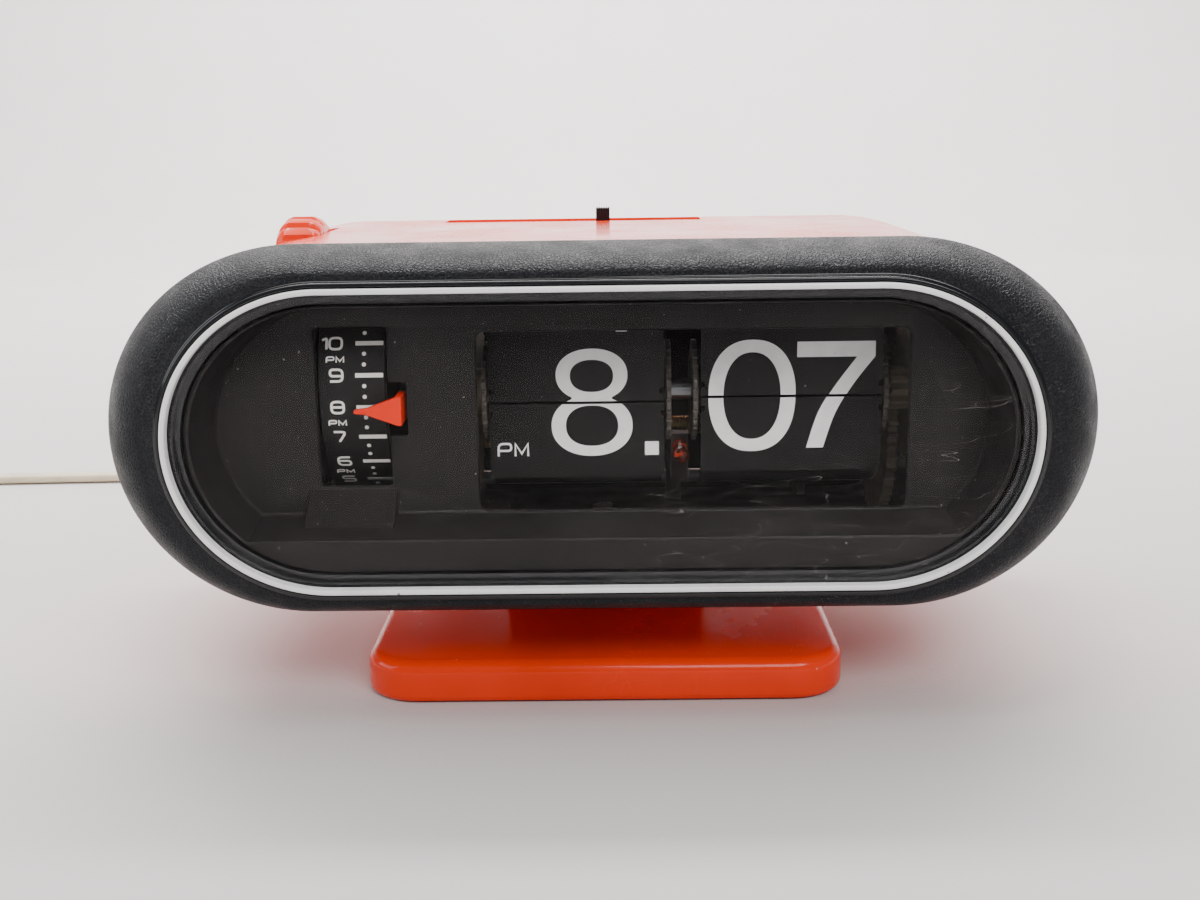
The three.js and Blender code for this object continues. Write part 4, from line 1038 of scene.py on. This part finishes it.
def add_time_wheel():
    """The time wheel with its gear and hub, as one moulding."""
    bore = [rod(1.8, 50, 64, "x", TIME_WHEEL_AXIS, 24)]
    wheel = thumbwheel(TIME_WHEEL_AXIS, TIME_WHEEL_R, 51, 57, 34)
    display, arbor, wheel_axis = Vector(DISPLAY_AXIS), Vector(ARBOR_AXIS), Vector(TIME_WHEEL_AXIS)
    size = 2 * (arbor - display).length / (SHAFT_TEETH + TRANSFER_TEETH)
    transfer_phase = mesh_phase(display, arbor, SHAFT_TEETH, TRANSFER_TEETH, 0)
    phase = mesh_phase(arbor, wheel_axis, TRANSFER_TEETH, TIME_WHEEL_TEETH, transfer_phase)
    wheel.prism(gear_outline(TIME_WHEEL_AXIS, TIME_WHEEL_TEETH, size, phase), "x", 59.8, 62.6)
    wheel.turned([(0.01, 56), (6, 56), (6, 60), (0.01, 60)], "x", TIME_WHEEL_AXIS, 40)
    piece("time_thumbwheel", wheel, "time_setter", ["orange"], ["time_set_wheel"], bore,
          sharp=45)


# ---------------------------------------------------------------- lettering
GLYPHS = {
    "0": [[(0, 0), (1, 0), (1, 1), (0, 1)]],
    "1": [[(0.35, 0.8), (0.72, 1), (0.72, 0)]],
    "2": [[(0, 1), (1, 1), (1, 0.5), (0, 0.5), (0, 0), (1, 0)]],
    "3": [[(0, 1), (1, 1), (1, 0), (0, 0)], [(0.2, 0.5), (1, 0.5)]],
    "4": [[(0.75, 0), (0.75, 1), (0, 0.3), (1, 0.3)]],
    "5": [[(1, 1), (0, 1), (0, 0.56), (1, 0.56), (1, 0), (0, 0)]],
    "6": [[(1, 1), (0, 1), (0, 0), (1, 0), (1, 0.55), (0, 0.55)]],
    "7": [[(0, 1), (1, 1), (0.4, 0)]],
    "8": [[(0, 0), (1, 0), (1, 1), (0, 1)], [(0, 0.52), (1, 0.52)]],
    "9": [[(0, 0), (1, 0), (1, 1), (0, 1), (0, 0.45), (1, 0.45)]],
    "A": [[(0, 0), (0.5, 1), (1, 0)], [(0.2, 0.34), (0.8, 0.34)]],
    "P": [[(0, 0), (0, 1), (1, 1), (1, 0.44), (0, 0.44)]],
    "M": [[(0, 0), (0, 1), (0.5, 0.2), (1, 1), (1, 0)]],
}
CLOSED_GLYPHS = "08"
INK = 0.05


def eased(points, radius, closed):
    """A line with its corners rounded off."""
    count = len(points)
    line = []
    for i, point in enumerate(points):
        if not closed and i in (0, count - 1):
            line.append(Vector(point))
            continue
        before, here, after = Vector(points[i - 1]), Vector(point), Vector(points[(i + 1) % count])
        reach = min(radius, 0.45 * (before - here).length, 0.45 * (after - here).length)
        start = here + (before - here).normalized() * reach
        end = here + (after - here).normalized() * reach
        line += [start.lerp(here, t).lerp(here.lerp(end, t), t) for t in (0, 0.25, 0.5, 0.75, 1)]
    return line


def stroke(shape, points, width, closed, place, mark=0):
    """A line of ink of a set width, laid on a surface by place(u, v, lift)."""
    count = len(points)
    rings = []
    for i, point in enumerate(points):
        before = points[i - 1] if closed or i else point
        after = points[(i + 1) % count] if closed or i < count - 1 else point
        along = after - before
        if (point - before).length > 1e-6 and (after - point).length > 1e-6:
            a, b = (point - before).normalized(), (after - point).normalized()
            along = a + b
            spread = min(1.6, 1 / max(0.3, along.length / 2))
        else:
            spread = 1
        aside = Vector((-along.y, along.x)).normalized() * width / 2 * spread
        left, right = point + aside, point - aside
        rings.append([place(left.x, left.y, 0), place(left.x, left.y, INK), place(right.x, right.y, INK),
                      place(right.x, right.y, 0)])
    shape.rings(rings, closed, mark)


def write(shape, text, left, base, width, height, weight, place, gap=0.42):
    """Extended capitals and figures. width is one letter's."""
    for letter in text:
        inset = weight / 2
        for line in GLYPHS[letter]:
            closed = letter in CLOSED_GLYPHS and len(line) == 4
            points = [(left + inset + u * (width - weight), base + inset + v * (height - weight)) for u,
                      v in line]
            corner = 0 if letter in "MA" else 0.32 * min(width, height)
            smooth_line = eased(points, corner, closed) if corner else [Vector(p) for p in points]
            stroke(shape, smooth_line, weight, closed, place)
        left += width * (0.72 if letter == "1" else 1) + gap * weight


# ---------------------------------------------------------------- flip leaves
LEAF_PLANE, LEAF_TALL, LEAF_THICK, LEAF_GAP = 15, 15, 0.5, 0.3


def leaf_outline(low, high, split, upward):
    """A leaf in x and z: square corners eased, with a hinge tab at each end beside the split."""
    near, far = (split + LEAF_GAP, split + LEAF_GAP + LEAF_TALL)
    tab, notch, corner = 1.5, 0.9, 0.5
    points = [(low, near), (low, near + tab), (low + notch, near + tab), (low + notch, near + tab + 1.0),
              (low, near + tab + 1.6), (low, far - corner), (low + corner, far), (high - corner, far),
              (high, far - corner), (high, near + tab + 1.6), (high - notch, near + tab + 1.0),
              (high - notch, near + tab), (high, near + tab), (high, near)]
    return points if upward else [(x, 2 * split - z) for x, z in points]


def figure_halves(outlines, split):
    """A printed figure from its outlines and counters, cut at the split: the upper and the lower Shape.
    The ink lies from y = -INK to 0."""
    curve = bpy.data.curves.new("figure", "CURVE")
    curve.dimensions = "2D"
    curve.fill_mode = "BOTH"
    curve.extrude = INK / 2
    for outline in outlines:
        line = curve.splines.new("POLY")
        line.points.add(len(outline) - 1)
        for point, (x, z) in zip(line.points, outline):
            point.co = (x, z, 0, 1)
        line.use_cyclic_u = True
    holder = add_object("figure", curve)
    mesh = evaluated(holder)
    bpy.data.objects.remove(holder)
    halves = []
    for keep in (1, -1):
        work = bmesh.new()
        work.from_mesh(mesh)
        bmesh.ops.remove_doubles(work, verts=work.verts, dist=1e-4)
        bmesh.ops.bisect_plane(work, geom=work.verts[:] + work.edges[:] + work.faces[:],
                               plane_co=(0, split + keep * LEAF_GAP, 0),
                               plane_no=(0, -keep, 0), clear_outer=True)
        rims = [edge for edge in work.edges if edge.is_boundary]
        bmesh.ops.holes_fill(work, edges=rims, sides=0)
        work.verts.index_update()
        points = [(v.co.x, v.co.z - INK / 2, v.co.y) for v in work.verts]
        halves.append(Shape().add(points, [[v.index for v in face.verts] for face in work.faces]))
        work.free()
    bpy.data.meshes.remove(mesh)
    return halves


def outline_8(x, base, scale=1.0):
    """Two stacked bowls, the lower one larger, with their counters."""
    low_z, low_w, low_h = base + 6.2, 8.2 * scale, 6.2
    top_z, top_w, top_h = base + 16.6, 7.2 * scale, 5.3
    steps = 90
    side = []
    for i in range(steps + 1):
        z = base + 21.9 * (1 - math.cos(math.pi * i / steps)) / 2
        reach = [w * max(0, 1 - (abs(z - centre) / h) ** 2.15) ** (1 / 2.15)
                 for centre, w, h in ((low_z, low_w, low_h), (top_z, top_w, top_h))]
        side.append((max(max(reach), 0.02), z))
    outer = [(x + u, z) for u, z in side] + [(x - u, z) for u, z in reversed(side)]
    return [outer, oval(x, low_z, 5.3 * scale, 4.15), oval(x, top_z - 0.2, 4.35 * scale, 3.25)]


def outline_0(x, base, height=22.7, half_width=8.75):
    middle = base + height / 2
    return [oval(x, middle, half_width, height / 2, 2.3),
            oval(x, middle, half_width - 3.0, height / 2 - 2.5, 2.2)]


def outline_7(left, base, height=21.6):
    """A flat bar and a leg that bows down to the left."""
    top, bar, right = base + height, 3.1, left + 15.6
    outer = spline([(right, top - bar, 0), (left + 11.4, base + 13.0, 0), (left + 7.9, base + 7.0, 0),
                    (left + 5.6, base, 0)], 6)
    inner = spline([(left + 2.2, base, 0), (left + 4.5, base + 7.3, 0), (left + 7.8, base + 12.8, 0),
                    (left + 12.0, top - bar, 0)], 6)
    line = [(left, top), (right, top)] + [(p.x, p.y) for p in outer] + [(p.x, p.y) for p in inner]
    return [line + [(left, top - bar)]]


def outline_9(x, base):
    """A bowl above a hooked tail."""
    return [outline_0(x, base, 21.9, 8.1)[0], oval(x - 0.4, base + 14.6, 4.9, 4.6),
            oval(x - 2.4, base + 5.0, 5.2, 2.1)]


def shifted(shape, y, turn=None):
    """A printed half moved to a leaf's face, or turned over onto its back about the split."""
    points = [(px, y + py, pz) for px, py, pz in shape.points]
    if turn is not None:
        points = [(px, 2 * y - py, 2 * turn - pz) for px, py, pz in points]
    moved = Shape()
    moved.points, moved.faces, moved.marks = points, shape.faces, [1] * len(shape.faces)
    return moved


def small_pm(x, z):
    """PM in extended capitals, as ink on a leaf that faces forward."""
    shape = Shape()
    write(shape, "PM", x, z, 3.0, 3.0, 0.43, lambda u, v, lift: (u, -lift, v), 1.0)
    return shape


def add_leaves(side, body_flap, now, coming, extra=None):
    """The four leaves that show: the one about to fall with the next figure's foot on its back, the next one
    behind it, the lower one, and the pile of fallen leaves under that."""
    upper_low, upper_high = clock_box(f"{side}_leaf_upper")
    lower_low, _ = clock_box(f"{side}_leaf_lower")
    left, right = upper_low.x, upper_high.x
    split = upper_low.z - LEAF_GAP
    now_top, now_foot = figure_halves(now, split)
    next_top, next_foot = figure_halves(coming, split)
    if extra:
        now_foot.join(extra)
        next_foot.join(extra)

    def leaf(name, node, y, upward, body, prints):
        shape = Shape().prism(leaf_outline(left, right, split, upward), "y", y, y + LEAF_THICK)
        for ink in prints:
            shape.join(ink)
        piece(name, shape, body, ["leaf", "figure"], [node], sharp=30)

    front = LEAF_PLANE
    leaf(f"{side}_falling_leaf", f"{side}_leaf_upper", front, True, body_flap,
         [shifted(now_top, front), shifted(next_foot, front + LEAF_THICK, split)])
    behind = front + LEAF_THICK + 0.4
    leaf(f"{side}_waiting_leaf", f"{side}_leaf_next", behind, True, "frame", [shifted(next_top, behind)])
    leaf(f"{side}_lower_leaf", f"{side}_leaf_lower", lower_low.y, False, "frame",
         [shifted(now_foot, lower_low.y)])

    pile = Shape()
    sheets = 11
    for i in range(sheets):
        share = i / (sheets - 1)
        y0 = front + 1.45 + 0.62 * i
        foot = 40.7 - 2.9 * share ** 0.8 - 0.2 * (i % 2)
        head = split - 2.6 - 7.5 * share
        lean = 0.5 + 0.35 * share
        outline = [(y0 + lean, foot), (y0 + lean + 0.4, foot), (y0 + 0.4, head), (y0, head)]
        pile.prism(outline, "x", left + 0.3 + 0.15 * (i % 3), right - 0.3 - 0.1 * (i % 2))
    piece(f"{side}_fallen_leaves", pile, "frame", ["leaf"], [f"{side}_leaf_stack"], sharp=30)


def add_display():
    pm = shifted(small_pm(-21.3, 45.1), 0)
    dot = shifted(Shape().box((8.7, -INK, 45.3), (11.5, 0, 48.1)), 0)
    add_leaves("hour", "hour_flap", outline_8(-2.0, 45.25), outline_9(-2.0, 45.25), pm.join(dot))
    add_leaves("minute", "minute_flap", outline_0(30.25, 45.85) + outline_7(39.15, 46.45),
               outline_0(29.9, 45.85) + outline_8(48.0, 46.1, 0.84))


DRUM_R = 10.5


def add_drum(side, body):
    """A pair of notched discs on a hub, and the leaves that hang between them."""
    low, high = clock_box(f"{side}_drum")
    bore, hub, thick = 2.3, 5.0, 1.0
    shape = Shape()
    for x0, x1 in ((low.x, low.x + thick), (high.x - thick, high.x)):
        notches, steps = 30, 8
        rings = []
        for x, inset in ((x0, 0.12), (x0 + 0.12, 0), (x1 - 0.12, 0), (x1, 0.12)):
            ring = []
            for i in range(notches * steps):
                angle = 2 * math.pi * i / (notches * steps)
                dip = 0.45 if i % steps in (0, 1) else 0
                ring.append((x, *on_circle(DISPLAY_AXIS, DRUM_R - inset - dip, angle)))
            rings.append(ring)
        shape.rings(rings)
    shape.turned([(0.01, low.x + 0.5), (hub, low.x + 0.5), (hub, high.x - 0.5), (0.01, high.x - 0.5)], "x",
                 DISPLAY_AXIS, 40)
    cutters = [rod(bore, low.x - 1, high.x + 1, "x", DISPLAY_AXIS, 32)]
    for i in range(5):
        angle = 2 * math.pi * (i + 0.5) / 5
        centre = on_circle(DISPLAY_AXIS, 7.6, angle)
        cutters.append(rod(1.25, low.x - 1, high.x + 1, "x", centre, 20))
    piece(f"{side}_drum_discs", shape, body, ["drum"], [f"{side}_drum"], cutters, sharp=30)

    roll = Shape()
    leaves = 30
    for i in range(leaves):
        angle = 2 * math.pi * i / leaves
        out = Vector((math.cos(angle), math.sin(angle)))
        lag = Vector((out.y, -out.x))
        centre = Vector(DISPLAY_AXIS)
        inner, outer = centre + out * 5.5, centre + out * 8.7 + lag * 2.0
        thick = lag * 0.2
        outline = [inner - thick, outer - thick, outer + thick, inner + thick]
        roll.prism([(p.x, p.y) for p in outline], "x", low.x + thick.length + 1.6, high.x - 1.8)
    piece(f"{side}_leaf_wheel", roll, body, ["leaf"], [f"{side}_leaf_roll"], sharp=30)


# ---------------------------------------------------------------- alarm drum
DRUM_LEFT, DRUM_RIGHT, SCALE_R = -54.6, -41.6, 23.8
HOUR_STEP = math.radians(15)
NINE_AT = math.radians(10.24)  # the 9 o'clock mark's place above the drum's front


def on_drum(angle, lift):
    radius = SCALE_R + lift
    return ALARM_AXIS[0] - radius * math.cos(angle), ALARM_AXIS[1] + radius * math.sin(angle)


def add_alarm_drum():
    """A thin-walled drum with a web, a hub and a ring gear, and the 24-hour scale printed round it."""
    shape = Shape()
    shape.turned([(SCALE_R - 1.6, DRUM_LEFT), (SCALE_R - 0.25, DRUM_LEFT), (SCALE_R, DRUM_LEFT + 0.25),
                  (SCALE_R, DRUM_RIGHT - 0.25), (SCALE_R - 0.25, DRUM_RIGHT), (SCALE_R - 1.6,
                                                                               DRUM_RIGHT)], "x",
                 ALARM_AXIS, 180, True)
    web = SCALE_R - 1.4
    shape.turned([(2.3, DRUM_LEFT), (web, DRUM_LEFT), (web, DRUM_LEFT + 1.4), (2.3, DRUM_LEFT + 1.4)], "x",
                 ALARM_AXIS, 96, True)
    shape.turned([(2.3, -60.4), (5, -60.4), (5, DRUM_RIGHT), (2.3, DRUM_RIGHT)], "x", ALARM_AXIS, 48, True)
    shape.turned([(2.3, -57.6), (14, -57.6), (14, DRUM_LEFT + 0.2), (2.3, DRUM_LEFT + 0.2)], "x", ALARM_AXIS,
                 64,
                 True)
    shape.prism(gear_outline(ALARM_AXIS, RING_TEETH, ALARM_TOOTH, 0), "x", -60, -57.4)
    ink = Shape()
    for hour in range(24):
        middle = NINE_AT + (hour - 9) * HOUR_STEP

        def place(x, height, lift, middle=middle):
            y, z = on_drum(middle + height / SCALE_R, lift)
            return x, y, z
        half = 0.42
        section = ((-half, 0), (-half, INK), (half, INK), (half, 0))
        ink.rings([[place(x, v, lift) for v, lift in section] for x in (-47.4, DRUM_RIGHT - 0.4)])
        for third in (1, 2):
            rise = third * HOUR_STEP / 3 * SCALE_R
            dot = [(0.4 * math.cos(math.pi * k / 6),
                    rise + 0.4 * math.sin(math.pi * k / 6)) for k in range(12)]
            ink.rings([[place(-45.7 + u, v, lift) for u, v in dot] for lift in (0, INK)])
        numeral = str((hour - 1) % 12 + 1)
        wide = 2.85
        left = -49.65 - (wide if len(numeral) == 1 else 2 * wide * 0.93)
        write(ink, numeral, left, -1.35, wide, 2.7, 0.46, place, 0.5)
        if hour % 2 == 0:
            # The drum's count of hours starts at noon, which makes its first half the evening.
            half_day = "PM" if hour < 12 else "AM"
            write(ink, half_day, -53.1, -0.5 * HOUR_STEP * SCALE_R - 0.75, 1.7, 1.35, 0.28, place, 0.7)
    shape.join(ink, 1)
    piece("alarm_scale_drum", shape, "alarm_dial", ["scale_drum", "scale"], ["alarm_drum"],
          sharp=30)


# ---------------------------------------------------------------- nodes that keep their CAD shape
KEPT_NODES = {
    "steel": ["rear_cover_screw_left", "rear_cover_screw_right", "alarm_switch_plate", "base_screw_front",
              "base_screw_rear", "display_shaft", "time_set_axle", "alarm_shaft", "alarm_set_pin",
              "alarm_lever",
              "alarm_lever_pin", "buzzer_yoke", "buzzer_reed", "left_frame_plate", "centre_frame_plate",
              "right_frame_plate", "tie_rod_bottom", "tie_rod_top", "leaf_stop_springs"],
    "brass": ["transfer_arbor", "motor_pinion"],
    "nylon": ["hour_gear", "minute_wheel", "transfer_wheel", "alarm_cam_gear"],
    "motor": ["motor_body"],
    "wire": ["buzzer_coil"],
    "neon": ["neon_lamp"],
    "drum": ["lamp_holder"],
}
KEPT_BEVEL = 0.12


def finish_kept_nodes():
    """Materials, softened edges and smooth round faces for the works inside."""
    for material, nodes in KEPT_NODES.items():
        for name in nodes:
            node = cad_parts[name]
            node.data.materials.clear()
            node.data.materials.append(MATERIALS[material])
            smooth(node.data, 32)
            round_edges(node, KEPT_BEVEL)


add_camera()
add_lead()
add_studio()
add_bezel()
add_ring()
add_lens()
add_mask()
add_pointer()
add_case()
add_cover()
add_switch()
add_pedestal()
add_alarm_wheel()
add_time_wheel()
add_display()
add_drum("hour", "hour_train")
add_drum("minute", "minute_train")
add_alarm_drum()
finish_kept_nodes()
